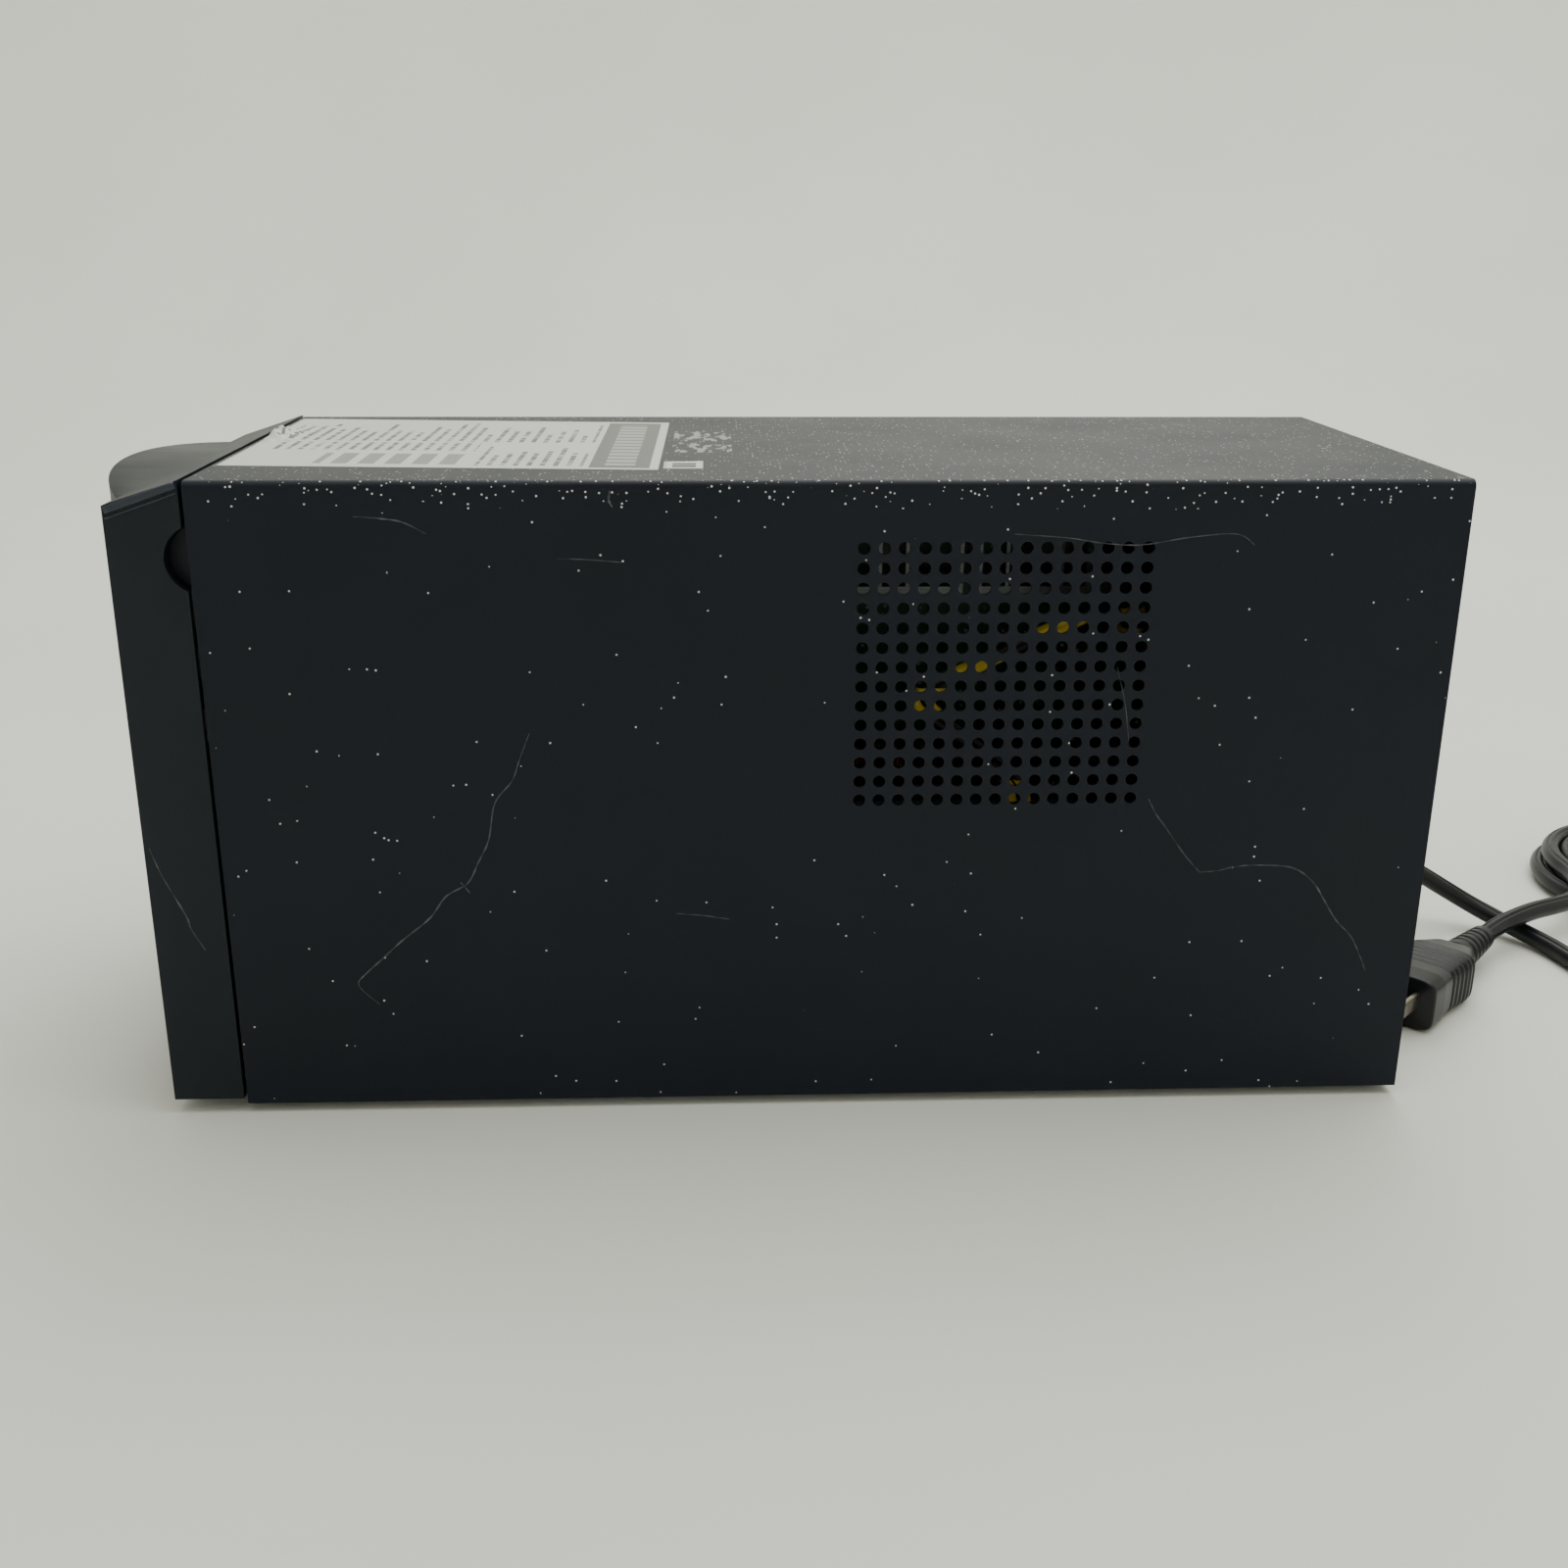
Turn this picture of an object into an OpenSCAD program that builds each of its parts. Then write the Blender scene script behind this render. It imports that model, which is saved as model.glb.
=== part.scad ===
// Tower uninterruptible power supply.
// Origin: middle of the footprint on the surface it stands on. +Z up, -X is the front (bezel),
// +X is the rear panel. All sizes in millimetres.

/* [Case] */
// Length of the steel cover, front edge to rear edge
case_l = 406; // [340:1:490]
// Width over the two side walls
case_w = 171.4; // [142:0.2:206]
// Height of the case, without its feet
case_h = 216; // [180:1:260]
// Thickness of the steel sheet
sheet_t = 1; // [0.8:0.1:1.6]
// Outer bend radius along the top edges
bend_r = 2.5; // [1.5:0.5:5]
// Height of the feet
foot_h = 3.5; // [2:0.5:8]
// Radius of a foot
foot_r = 11; // [6:1:14]
// Distance of a foot's centre from the case's sides and ends
foot_inset = 34; // [20:1:45]

/* [Vents] */
// Columns of vent holes
vent_cols = 15; // [4:1:16]
// Rows of vent holes
vent_rows = 14; // [4:1:16]
// Distance between vent holes
vent_pitch = 6.5; // [5.5:0.1:7]
// Radius of a vent hole
vent_r = 2; // [1.5:0.1:2.4]
// First column, behind the cover's front edge
vent_x = 211.4; // [190:0.2:230]
// Highest row, below the top of the case
vent_drop = 21.4; // [15:0.2:30]

/* [Bezel] */
// Depth of the bezel's sides, seam included
bezel_d = 25; // [22:0.5:34]
// Gap between bezel and cover
seam_gap = 1.2; // [0.6:0.1:2]
// How far the bowed front stands forward of the sides
hood_reach = 18; // [16:0.5:24]
// Half width of the bow where it meets the flat front
hood_half_w = 70; // [60:1:70]
// Wall of the bezel
bezel_wall = 2.5; // [2:0.1:3.5]
// Fall of the top strip from its rear edge to its front edge
strip_fall = 7.8; // [4:0.1:12]
// Gap between the bezel's lower edge and the case's lower edge
bezel_lift = 2; // [0.5:0.1:4]
// Radius of the finger notch in each side
notch_r = 11; // [8:0.5:14]
// Depth of the finger notch
notch_depth = 6.5; // [5:0.5:8]
// Distance of the notch's centre below the top of the case
notch_drop = 24.5; // [20:0.5:35]

/* [Front panel] */
// Width of the display window
window_w = 54; // [40:1:58]
// Height of the display window
window_h = 42; // [30:1:46]
// Top of the window below the top of the case
window_drop = 30; // [26:1:40]
// Radius of the power button
power_r = 8; // [6:0.5:9]
// Radius of a menu button
menu_r = 4.5; // [3.5:0.5:5.5]
// Travel of a button
button_travel = 2; // [1:0.5:2]
// Gap around a button and in front of a moving face
slip_gap = 0.4; // [0.3:0.05:0.6]

/* [Battery] */
// Length of a battery
batt_l = 181; // [150:1:182]
// Thickness of the tray's sheet
tray_t = 1.2; // [1:0.1:1.6]
// Space above the battery bay for wiring
head_room = 42; // [38:1:60]

/* [Power electronics] */
// Length of the transformer's core along the case
core_l = 92; // [70:1:96]
// Width of the transformer's core
core_w = 74; // [50:1:76]
// Height of the transformer's core
core_h = 82; // [60:1:88]
// Thickness of the main board
board_t = 1.6; // [1.2:0.2:2.4]
// Reach of the heat sinks off the board
sink_reach = 32; // [20:1:36]

/* [Rear panel] */
// Side of the fan's frame
fan_size = 70; // [60:1:70]
// Depth of the fan's frame
fan_d = 25; // [20:1:25]
// Width of an outlet bank
bank_w = 29; // [27:0.5:30]
// Distance between outlets in a bank
outlet_pitch = 26; // [25.5:0.5:26]
// Depth of an outlet bank behind the panel
bank_d = 24; // [20:1:26]
// How far the furthest rear fitting stands behind the cover
rear_reach = 8; // [7:0.5:12]
// Radius of the circuit breaker's button
breaker_r = 4.2; // [3:0.2:5]
// Travel of the circuit breaker's button
breaker_travel = 3; // [1:0.5:3]

/* [Cord] */
// Diameter of the power cord
cord_d = 8; // [7:0.5:9]
// Radius of the coil at the middle of its turns
coil_r = 44; // [40:1:48]
// Length of the plug's body
plug_l = 52; // [40:1:56]
// Width of the plug's body
plug_w = 28; // [24:1:30]
// Height of the plug's body
plug_h = 22; // [18:1:24]
// Length of the strain relief at each end
relief_l = 30; // [20:1:40]

/* [Hidden] */
$fn = 48;
eps = 0.01;

// Places along the length
overall_l = hood_reach + bezel_d + case_l + rear_reach;
x_nose = -overall_l / 2;
x_case = x_nose + hood_reach + bezel_d;
x_back = x_case + case_l;
panel_inset = 1.5;
x_panel = x_back - panel_inset;
x_inside = x_panel - sheet_t;
frame_inset = 3;
x_frame = x_case + frame_inset;
flange_w = 12;
cover_screw_r = 1.5;

// Places across the width and the height
half_w = case_w / 2;
half_in = half_w - sheet_t;
z_base = foot_h;
z_floor = z_base + 2 * sheet_t;
z_top = foot_h + case_h;
z_roof = z_top - sheet_t;
fit_gap = 0.3;

// Battery bay
bay_side = 4;
bay_half = half_in - bay_side;
tray_half = bay_half - fit_gap - sheet_t;
batt_gap = 0.5;
batt_w = tray_half - tray_t - 1.5 * batt_gap;
z_tray = z_floor + fit_gap;
z_batt = z_tray + tray_t;
batt_h = case_h - head_room - 7;
z_shelf = z_batt + batt_h + 6;
x_batt = x_frame + sheet_t + fit_gap + 1;
x_tray_end = x_batt + batt_l + batt_gap + tray_t;
x_bay_end = x_tray_end + 8;
door_lap = 3;
x_door = x_frame - fit_gap - tray_t;
opening_half = tray_half + fit_gap;
z_opening = z_tray - fit_gap;
z_opening_top = z_shelf - 2;
terminal_h = 3;
socket_half = 18;
socket_h = 10.5;
z_socket = z_batt + batt_h - 6;

// Transformer and board
wall_gap = 8;
x_core = x_bay_end + 9;
y_core = -half_in + wall_gap;
core_foot = 3;
lead_r = 1.8;
z_core = z_floor + core_foot;
window_share = 0.22;
x_board = x_bay_end + 5;
x_board_end = x_inside - fan_d - 6;
y_plate = half_in - 5;
spacer_h = 5;
y_board = y_plate - sheet_t - spacer_h - board_t;
z_board = z_floor + 12;
z_board_top = z_roof - 10;
sink_h = 45;
sink_gap = 6;
sink_l = (x_board_end - x_board - 3 * sink_gap) * 0.36;
x_sink_rear = x_board + 2 * sink_gap + sink_l;
z_sink = z_board_top - 8 - sink_h;
cap_r = 9;
cap_h = 30;
x_caps = x_sink_rear + sink_l + sink_gap + cap_r;

// Rear panel
edge_gap = 3;
y_bank_outer = -half_in + edge_gap;
y_bank_inner = y_bank_outer + bank_w + 1;
z_bank = z_floor + 9;
bank_h = 4 * outlet_pitch;
bank_lip = 1.5;
slot_w = 2 * bank_w + 1;
slot_h = 28;
y_slot = y_bank_outer;
z_slot = z_roof - 6 - slot_h;
port_h = 14;
z_port = z_slot - 4 - port_h;
y_fan = half_in - edge_gap - fan_size / 2;
z_fan = z_roof - edge_gap - 4 - fan_size / 2;
fan_bore_r = fan_size / 2 - 2.5;
fan_hole_at = fan_size / 2 - 5;
fan_screw_r = 2.1;
hub_r = 16;
shaft_r = 1.5;
running_gap = 0.05;
rotor_d = fan_d - 11;
y_breaker = half_in - 38;
z_breaker = z_floor + 76;
y_gland = half_in - 20.7;
z_gland = z_floor + 28;
gland_r = 10;
x_mouth = x_back + 4;
y_earth = half_in - 52;
z_earth = z_floor + 40;
usb = [12, 11];
serial = [31, 12.5];
jack = [13, 13];
jack_mouth = [10.5, 8.5, 11];
y_usb = y_slot + 1;
y_serial = y_usb + usb[0] + 1.5;
y_jacks = y_serial + serial[0] + 1.5;

// Bezel
x_side = x_nose + hood_reach;
x_seam = x_case - seam_gap;
z_bezel = z_base + bezel_lift;
z_strip = z_top + 0.4;
z_strip_front = z_strip - strip_fall;
bow_r = (hood_half_w * hood_half_w + hood_reach * hood_reach) / (2 * hood_reach);
crown_r = 560;
crown_rise = 3.6;
z_crown = z_strip_front + crown_rise;
// The crown runs back until the rising strip has covered it
x_crown_end = x_side + (x_seam - x_side) * crown_rise / strip_fall + 1;
z_window = z_top - window_drop - window_h;
window_t = 2;
x_window = x_nose + 2.6;
x_display = x_nose + 16;
z_power = z_window - 7 - power_r;
menu_y = power_r + 8 + menu_r;
button_face = 0.5;
switch_h = 3.2;
post_y = window_w / 2 + 5;
clip_y = 52;
clip_w = 16;
clip_t = 2;
z_clip = z_shelf + 12;

// Cord. Heights are above the floor; the route is chosen by hand.
tie_t = 1.2;
tie_w = 12;
cord_r = cord_d / 2;
coil_at = [418, 100];
coil_half = 1.5 * cord_d;
coil_h = 2 * cord_d;
plug_at = [279, 4];
plug_turn = 225;
relief_tip_r = cord_r + 1;
relief_root_r = cord_r + 3.4;
lead_route = [[250, 64, 33.5], [263, 64, 33.2], [275, 64, 30.5], [286, 64, 25], [297, 63, 18.5],
    [309, 59, 11.8], [320, 51, 7], [328, 40, 4.8], [333, 27, 4.2], [336, 13, 4.2],
    [341, 0, 4.2], [351, -13, 4.2], [367, -23, 4.2], [387, -27, 4.2], [408, -24, 4.2],
    [428, -13, 4.2], [445, 5, 4.2], [458, 29, 4.2], [466, 55, 4.5], [469.6, 80, 5],
    [470, 100, 5.2]];
tail_route = [[370, 100, 13], [370, 90, 12.8], [368, 79, 12.6], [363, 68, 12.8], [354, 58, 13.2],
    [343, 51, 13.8], [331, 45, 14], [320, 39, 13.4], [310, 33, 12.2], [300.2, 25.2, 11]];

function unit(v) = v / norm(v);
function along(a, b, c, d, t) =
    0.5 * (2 * b + (c - a) * t + (2 * a - 5 * b + 4 * c - d) * t * t
    + (3 * b - a - 3 * c + d) * t * t * t);
function smooth_route(p, k) = [
    for (i = [0:len(p) - 2], j = [0:k - 1])
        along(p[max(i - 1, 0)], p[i], p[i + 1], p[min(i + 2, len(p) - 1)], j / k),
    p[len(p) - 1]];
function headings(p) = [
    for (i = [0:len(p) - 1]) unit(p[min(i + 1, len(p) - 1)] - p[max(i - 1, 0)])];
function square_to(v, t) = unit(v - (v * t) * t);
function carried(t, start) = [
    for (i = 0, n = square_to(start, t[0]); i < len(t);
        i = i + 1, n = i < len(t) ? square_to(n, t[i]) : n) n];

// One closed tube of the given radius along a route of points
module tube(route, r, sides = 10, start = [0, 1, 0]) {
    t = headings(route);
    n = carried(t, start);
    last = len(route) - 1;
    rings = [for (i = [0:last], k = [0:sides - 1])
        route[i] + r * (cos(360 * k / sides) * n[i] + sin(360 * k / sides) * cross(t[i], n[i]))];
    walls = [for (i = [0:last - 1], k = [0:sides - 1], h = [0, 1])
        let (a = i * sides + k, b = i * sides + (k + 1) % sides)
        h == 0 ? [a, b, b + sides] : [a, b + sides, a + sides]];
    polyhedron(points = rings,
        faces = [each [for (w = walls) [w[2], w[1], w[0]]], [for (k = [0:sides - 1]) k],
            [for (k = [sides - 1:-1:0]) last * sides + k]]);
}

module block(x, y, z) {
    translate([x[0], y[0], z[0]]) cube([x[1] - x[0], y[1] - y[0], z[1] - z[0]]);
}
module rod_x(x, y, z, r) {
    translate([x[0], y, z]) rotate([0, 90, 0]) cylinder(r = r, h = x[1] - x[0]);
}
module rod_y(y, x, z, r) {
    translate([x, y[1], z]) rotate([90, 0, 0]) cylinder(r = r, h = y[1] - y[0]);
}
module rod_z(z, x, y, r) {
    translate([x, y, z[0]]) cylinder(r = r, h = z[1] - z[0]);
}
// Pan-head screw on the X axis: head from the face outwards, shank inwards
module screw_x(face, y, z, head_r, head_h, shank_r, shank_l) {
    difference() {
        union() {
            rod_x([face, face + head_h], y, z, head_r);
            rod_x([face - shank_l, face + eps], y, z, shank_r);
        }
        block([face + head_h * 0.5, face + head_h + 1], [y - head_r * 0.65, y + head_r * 0.65],
            [z - 0.5, z + 0.5]);
        block([face + head_h * 0.5, face + head_h + 1], [y - 0.5, y + 0.5],
            [z - head_r * 0.65, z + head_r * 0.65]);
    }
}
// Door-shaped outline: flat foot, two rounded shoulders
module arch(half, h, r) {
    translate([-half, 0]) square([2 * half, h - r]);
    translate([r - half, 0]) square([2 * (half - r), h]);
    for (s = [-1, 1]) translate([s * (half - r), h - r]) circle(r = r);
}
module along_x(x) {
    translate([x[0], 0, 0]) rotate([90, 0, 90]) linear_extrude(x[1] - x[0]) children();
}
module along_y(y) {
    translate([0, y[1], 0]) rotate([90, 0, 0]) linear_extrude(y[1] - y[0]) children();
}

// ---- Case ----
module cover_screw_places() {
    for (x = [x_case + 60, x_back - 60], s = [-1, 1])
        translate([x, s * (half_w - flange_w / 2), z_base + sheet_t / 2]) children();
}
// Outline of a panel that closes the cover's end
module end_panel(x) {
    translate([0, 0, z_base + sheet_t]) along_x(x)
        arch(half_in, case_h - 2 * sheet_t, bend_r - sheet_t);
}
module top_cover() {
    color("#16191f") difference() {
        translate([0, 0, z_base]) along_x([x_case, x_back]) difference() {
            arch(half_w, case_h, bend_r);
            translate([0, sheet_t]) arch(half_in, case_h - 2 * sheet_t, bend_r - sheet_t);
            translate([flange_w - half_w, -eps]) square([2 * (half_w - flange_w), sheet_t + 1]);
        }
        cover_screw_places() cylinder(r = cover_screw_r + 0.1, h = 3 * sheet_t, center = true);
        for (i = [0:vent_cols - 1], j = [0:vent_rows - 1])
            rod_y([-half_w - 1, half_w + 1], x_case + vent_x + i * vent_pitch,
                z_top - vent_drop - j * vent_pitch, vent_r);
    }
}
module base_tray() {
    lip = 14;
    color("#1c1f24") difference() {
        union() {
            block([x_frame + sheet_t, x_inside], [-half_in, half_in], [z_base + sheet_t, z_floor]);
            for (s = [-1, 1])
                block([x_frame + sheet_t, x_inside],
                    [s * half_in - (s + 1) / 2 * sheet_t, s * half_in - (s - 1) / 2 * sheet_t],
                    [z_base + sheet_t, z_base + lip]);
        }
        for (x = [x_case + foot_inset, x_back - foot_inset], s = [-1, 1])
            rod_z([z_base - 1, z_floor + 1], x, s * (half_w - foot_inset), 2);
        cover_screw_places() cylinder(r = cover_screw_r + 0.1, h = 6 * sheet_t, center = true);
    }
}
module rubber_feet() {
    color("#0d0d0d")
        for (x = [x_case + foot_inset, x_back - foot_inset], s = [-1, 1])
            translate([x, s * (half_w - foot_inset), 0]) {
                cylinder(r1 = foot_r - 1, r2 = foot_r, h = foot_h + sheet_t);
                rod_z([foot_h, z_floor], 0, 0, 1.95);
            }
}
module fan_cut(x, r) {
    rod_x(x, y_fan, z_fan, r);
}
module rear_panel() {
    x = [x_inside, x_panel];
    cut = [x_inside - 1, x_panel + 1];
    color("#1c1f24") difference() {
        end_panel(x);
        fan_cut(cut, fan_bore_r);
        for (a = [-1, 1], b = [-1, 1])
            rod_x(cut, y_fan + a * fan_hole_at, z_fan + b * fan_hole_at, fan_screw_r);
        for (y = [y_bank_outer, y_bank_inner])
            block(cut, [y + bank_lip, y + bank_w - bank_lip],
                [z_bank + bank_lip, z_bank + bank_h - bank_lip]);
        block(cut, [y_slot + 6, y_slot + slot_w - 6], [z_slot + 2, z_slot + slot_h - 2]);
        for (y = [y_slot + 3, y_slot + slot_w - 3])
            rod_x(cut, y, z_slot + slot_h / 2, 1.6);
        block(cut, [y_usb, y_usb + usb[0]], [z_port, z_port + usb[1]]);
        block(cut, [y_serial, y_serial + serial[0]], [z_port, z_port + serial[1]]);
        block(cut, [y_jacks, y_jacks + jack[0]], [z_port, z_port + jack[1]]);
        rod_x(cut, y_breaker, z_breaker, breaker_r + 2);
        rod_x(cut, y_gland, z_gland, gland_r);
        rod_x(cut, y_earth, z_earth, 2);
    }
}
module front_frame() {
    color("#1c1f24") difference() {
        end_panel([x_frame, x_frame + sheet_t]);
        block([x_frame - 1, x_frame + sheet_t + 1], [-opening_half, opening_half],
            [z_opening, z_opening_top]);
        for (s = [-1, 1])
            block([x_frame - 1, x_frame + sheet_t + 1],
                [s * clip_y - clip_w / 2 - slip_gap, s * clip_y + clip_w / 2 + slip_gap],
                [z_clip - slip_gap, z_clip + clip_t + slip_gap]);
        for (s = [-1, 1])
            rod_x([x_frame - 1, x_frame + sheet_t + 1], s * (opening_half - 12),
                z_opening_top + 5, 1.6);
    }
}
module cover_screws() {
    color("#2a2d31") cover_screw_places() {
        translate([0, 0, -sheet_t / 2 - 1.6]) cylinder(r = 3.2, h = 1.6);
        translate([0, 0, -sheet_t / 2 - eps]) cylinder(r = cover_screw_r, h = 2 * sheet_t);
    }
}
module top_label() {
    color("#c9c9c4") translate([x_case, -half_w, z_top]) linear_extrude(0.2)
        polygon([[1.4, 34], [146, 23.2], [146.8, 148.6], [1.4, 161.4]]);
}
module barcode_label() {
    color("#c9c9c4") translate([x_case + 147.5, 26 - half_w, z_top])
        linear_extrude(0.2) square([13, 16]);
}

// ---- Inside the case ----
module battery_bay() {
    lip = 10;
    color("#8f9499") {
        block([x_frame + sheet_t, x_bay_end], [-bay_half, bay_half], [z_shelf, z_shelf + sheet_t]);
        for (s = [-1, 1])
            block([x_frame + sheet_t, x_bay_end],
                [s * bay_half - (s + 1) / 2 * sheet_t, s * bay_half - (s - 1) / 2 * sheet_t],
                [z_floor, z_shelf + sheet_t]);
        difference() {
            block([x_bay_end - sheet_t, x_bay_end], [-bay_half, bay_half],
                [z_floor, z_shelf + sheet_t]);
            block([x_bay_end - sheet_t - 1, x_bay_end + 1],
                [-socket_half - fit_gap, socket_half + fit_gap],
                [z_socket - fit_gap, z_socket + socket_h + fit_gap]);
        }
    }
}
module transformer_core() {
    mid = x_core + core_l / 2;
    color("#4a4540") difference() {
        block([x_core, x_core + core_l], [y_core, y_core + core_w], [z_core, z_core + core_h]);
        for (s = [-1, 1])
            block([mid + s * core_l * window_share - 9, mid + s * core_l * window_share + 9],
                [y_core - 1, y_core + core_w + 1], [z_core + 15, z_core + core_h - 15]);
    }
}
module transformer_coil() {
    mid = x_core + core_l / 2;
    tape = core_l * window_share + 8.5;
    post = core_l * window_share - 9;
    color("#d8b92a") difference() {
        block([mid - tape, mid + tape], [y_core - 6, y_core + core_w + 6],
            [z_core + 15.5, z_core + core_h - 15.5]);
        block([mid - post, mid + post], [y_core, y_core + core_w], [z_core, z_core + core_h]);
    }
}
module transformer_bracket() {
    strap = 14;
    mid = x_core + core_l / 2;
    color("#9aa0a4") difference() {
        union() {
            for (x = [x_core - 1.5, x_core + core_l])
                block([x, x + 1.5], [y_core + core_w / 2 - strap, y_core + core_w / 2 + strap],
                    [z_floor, z_core + core_h + 1.5]);
            block([x_core - 1.5, x_core + core_l + 1.5],
                [y_core + core_w / 2 - strap, y_core + core_w / 2 + strap],
                [z_core + core_h, z_core + core_h + 1.5]);
            block([x_core + core_l, x_core + core_l + 12],
                [y_core + core_w / 2 - strap, y_core + core_w / 2 + strap],
                [z_floor, z_floor + 1.5]);
            for (y = [y_core + 2, y_core + core_w - 12])
                block([x_core, x_core + core_l], [y, y + 10], [z_floor, z_core]);
        }
        rod_z([z_floor - 1, z_floor + 3], x_core + core_l + 7, y_core + core_w / 2, 2);
    }
}
// Two leads rise from the coil, sweep over it and end on the main board under the rear heat sink
module transformer_leads() {
    top = z_core + core_h - 15.5;
    x = x_core + core_l / 2;
    x_pad = x_sink_rear + sink_l - 6;
    color("#d8b92a")
        for (k = [0, 1])
            translate([5 * k, 0, 0])
                tube(smooth_route([[x + 8, y_core - 3.5, top - 1],
                    [x + 10.5, y_core - 3.3, top + 15], [x + 15, y_core + 14.7, top + 34.5],
                    [x - 3.5, y_core + 20.7, top + 51],
                    [x - 18.5, y_core + 21, top + 65], [x + 0.5, y_core + 21, top + 77],
                    [x + 27.5, y_core + 21, top + 90], [x + 52.5, y_core + 30.7, top + 97],
                    [x_pad, 0, z_sink - 5.5], [x_pad, y_board - 12, z_sink - 9.5],
                    [x_pad, y_board - 0.1, z_sink - 9.5]], 4), lead_r, 8, [0, 1, 0]);
}
module board_plate() {
    color("#8f9499") {
        block([x_board - 4, x_board_end + 2], [y_plate - sheet_t, y_plate],
            [z_floor, z_board_top + 3]);
        block([x_board - 4, x_board_end + 2], [y_plate, half_in - sheet_t],
            [z_floor, z_floor + sheet_t]);
    }
}
module board_corners() {
    for (x = [x_board + 6, x_board_end - 6], z = [z_board + 6, z_board_top - 6])
        translate([x, 0, z]) children();
}
module board_spacers() {
    color("#b9a25a") board_corners() difference() {
        rod_y([y_plate - sheet_t - spacer_h, y_plate - sheet_t], 0, 0, 3);
        rod_y([y_plate - sheet_t - spacer_h - 1, y_plate], 0, 0, 1.2);
    }
}
module main_board() {
    color("#1f5a34") difference() {
        block([x_board, x_board_end], [y_board, y_board + board_t], [z_board, z_board_top]);
        board_corners() rod_y([y_board - 1, y_board + board_t + 1], 0, 0, 1.6);
    }
}
module heat_sink(x) {
    fins = 6;
    fin_t = 1.5;
    color("#a9adb0") {
        block([x, x + sink_l], [y_board - sink_reach, y_board], [z_sink, z_sink + 3]);
        for (i = [0:fins - 1])
            let (fin = x + i * (sink_l - fin_t) / (fins - 1))
                block([fin, fin + fin_t], [y_board - sink_reach, y_board],
                    [z_sink, z_sink + sink_h]);
    }
}
module heat_sinks() {
    heat_sink(x_board + sink_gap);
    heat_sink(x_sink_rear);
}
module power_transistors() {
    color("#151515")
        for (x = [x_board + sink_gap, x_sink_rear], k = [0, 1])
            block([x + 6 + k * (sink_l - 28), x + 22 + k * (sink_l - 28)],
                [y_board - 22, y_board - 2], [z_sink - 4.6, z_sink]);
}
module capacitors() {
    color("#1b2c57")
        for (k = [0, 1])
            rod_y([y_board - cap_h, y_board], x_caps, z_board_top - 14 - k * (2 * cap_r + 3),
                cap_r);
}
module relays() {
    color("#1c1c1e")
        for (k = [0:3])
            block([x_board + 12 + 24 * k, x_board + 31 + 24 * k], [y_board - 15, y_board],
                [z_board + 14, z_board + 30]);
}
module line_choke() {
    color("#a8652c") translate([x_board + 30, y_board - 8, z_board + 52]) rotate([90, 0, 0])
        rotate_extrude() translate([11, 0]) circle(r = 5);
    color("#a8652c") rod_y([y_board - 4, y_board], x_board + 30, z_board + 41, 2.5);
    color("#a8652c") rod_y([y_board - 4, y_board], x_board + 30, z_board + 63, 2.5);
}

// ---- Rear panel ----
module comm_board() {
    color("#1f5a34") block([x_inside - 46, x_inside - 1], [y_usb, y_jacks + jack[0]],
        [z_port - 1.8 - board_t, z_port - 1.8]);
}
module port_body(y, size, depth) {
    block([x_inside - depth, x_panel + 0.5], [y + 0.1, y + size[0] - 0.1],
        [z_port - 1.8, z_port + size[1] - 0.1]);
}
module usb_port() {
    mid = y_usb + usb[0] / 2;
    color("#b8bcc0") difference() {
        intersection() {
            port_body(y_usb, usb, 16);
            block([x_inside - 20, x_panel + 1], [y_usb, y_usb + usb[0]],
                [z_port - 1.8, z_port + usb[1]]);
        }
        block([x_inside - 20, x_panel + 1], [y_usb - 1, y_usb + usb[0] + 1],
            [z_port - 3, z_port - 1.8]);
        block([x_inside - 9, x_panel + 1], [mid - 4.2, mid + 4.2], [z_port + 1.5, z_port + 9.3]);
        block([x_inside, x_panel + 1], [y_usb - 1, y_usb + usb[0] + 1], [z_port - 3, z_port + 0.1]);
    }
    color("#e8e8e4") block([x_inside - 9, x_inside - 1], [mid - 2.7, mid + 2.7],
        [z_port + 3.7, z_port + 6.9]);
}
module serial_port() {
    mid = y_serial + serial[0] / 2;
    color("#b8bcc0") {
        difference() {
            union() {
                block([x_inside - 10, x_panel], [y_serial + 6, y_serial + serial[0] - 6],
                    [z_port + 0.1, z_port + serial[1] - 0.1]);
                block([x_inside - 10, x_inside - 1], [y_serial + 6, y_serial + serial[0] - 6],
                    [z_port - 1.8, z_port + 1]);
                block([x_panel, x_panel + 0.8], [y_serial - 0.5, y_serial + serial[0] + 0.5],
                    [z_port, z_port + serial[1]]);
                block([x_panel, x_panel + 6], [mid - 8.8, mid + 8.8], [z_port + 2, z_port + 10.5]);
            }
            block([x_panel, x_panel + 7], [mid - 8.2, mid + 8.2], [z_port + 2.6, z_port + 9.9]);
        }
        for (k = [0:4])
            rod_x([x_panel - 1, x_panel + 5], mid - 5.5 + 2.75 * k, z_port + 7.7, 0.5);
        for (k = [0:3])
            rod_x([x_panel - 1, x_panel + 5], mid - 4.1 + 2.75 * k, z_port + 4.9, 0.5);
        for (s = [-1, 1])
            translate([x_panel + 0.8, mid + s * 12.5, z_port + serial[1] / 2]) rotate([0, 90, 0])
                cylinder(r = 2.6, h = 4, $fn = 6);
    }
}
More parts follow.
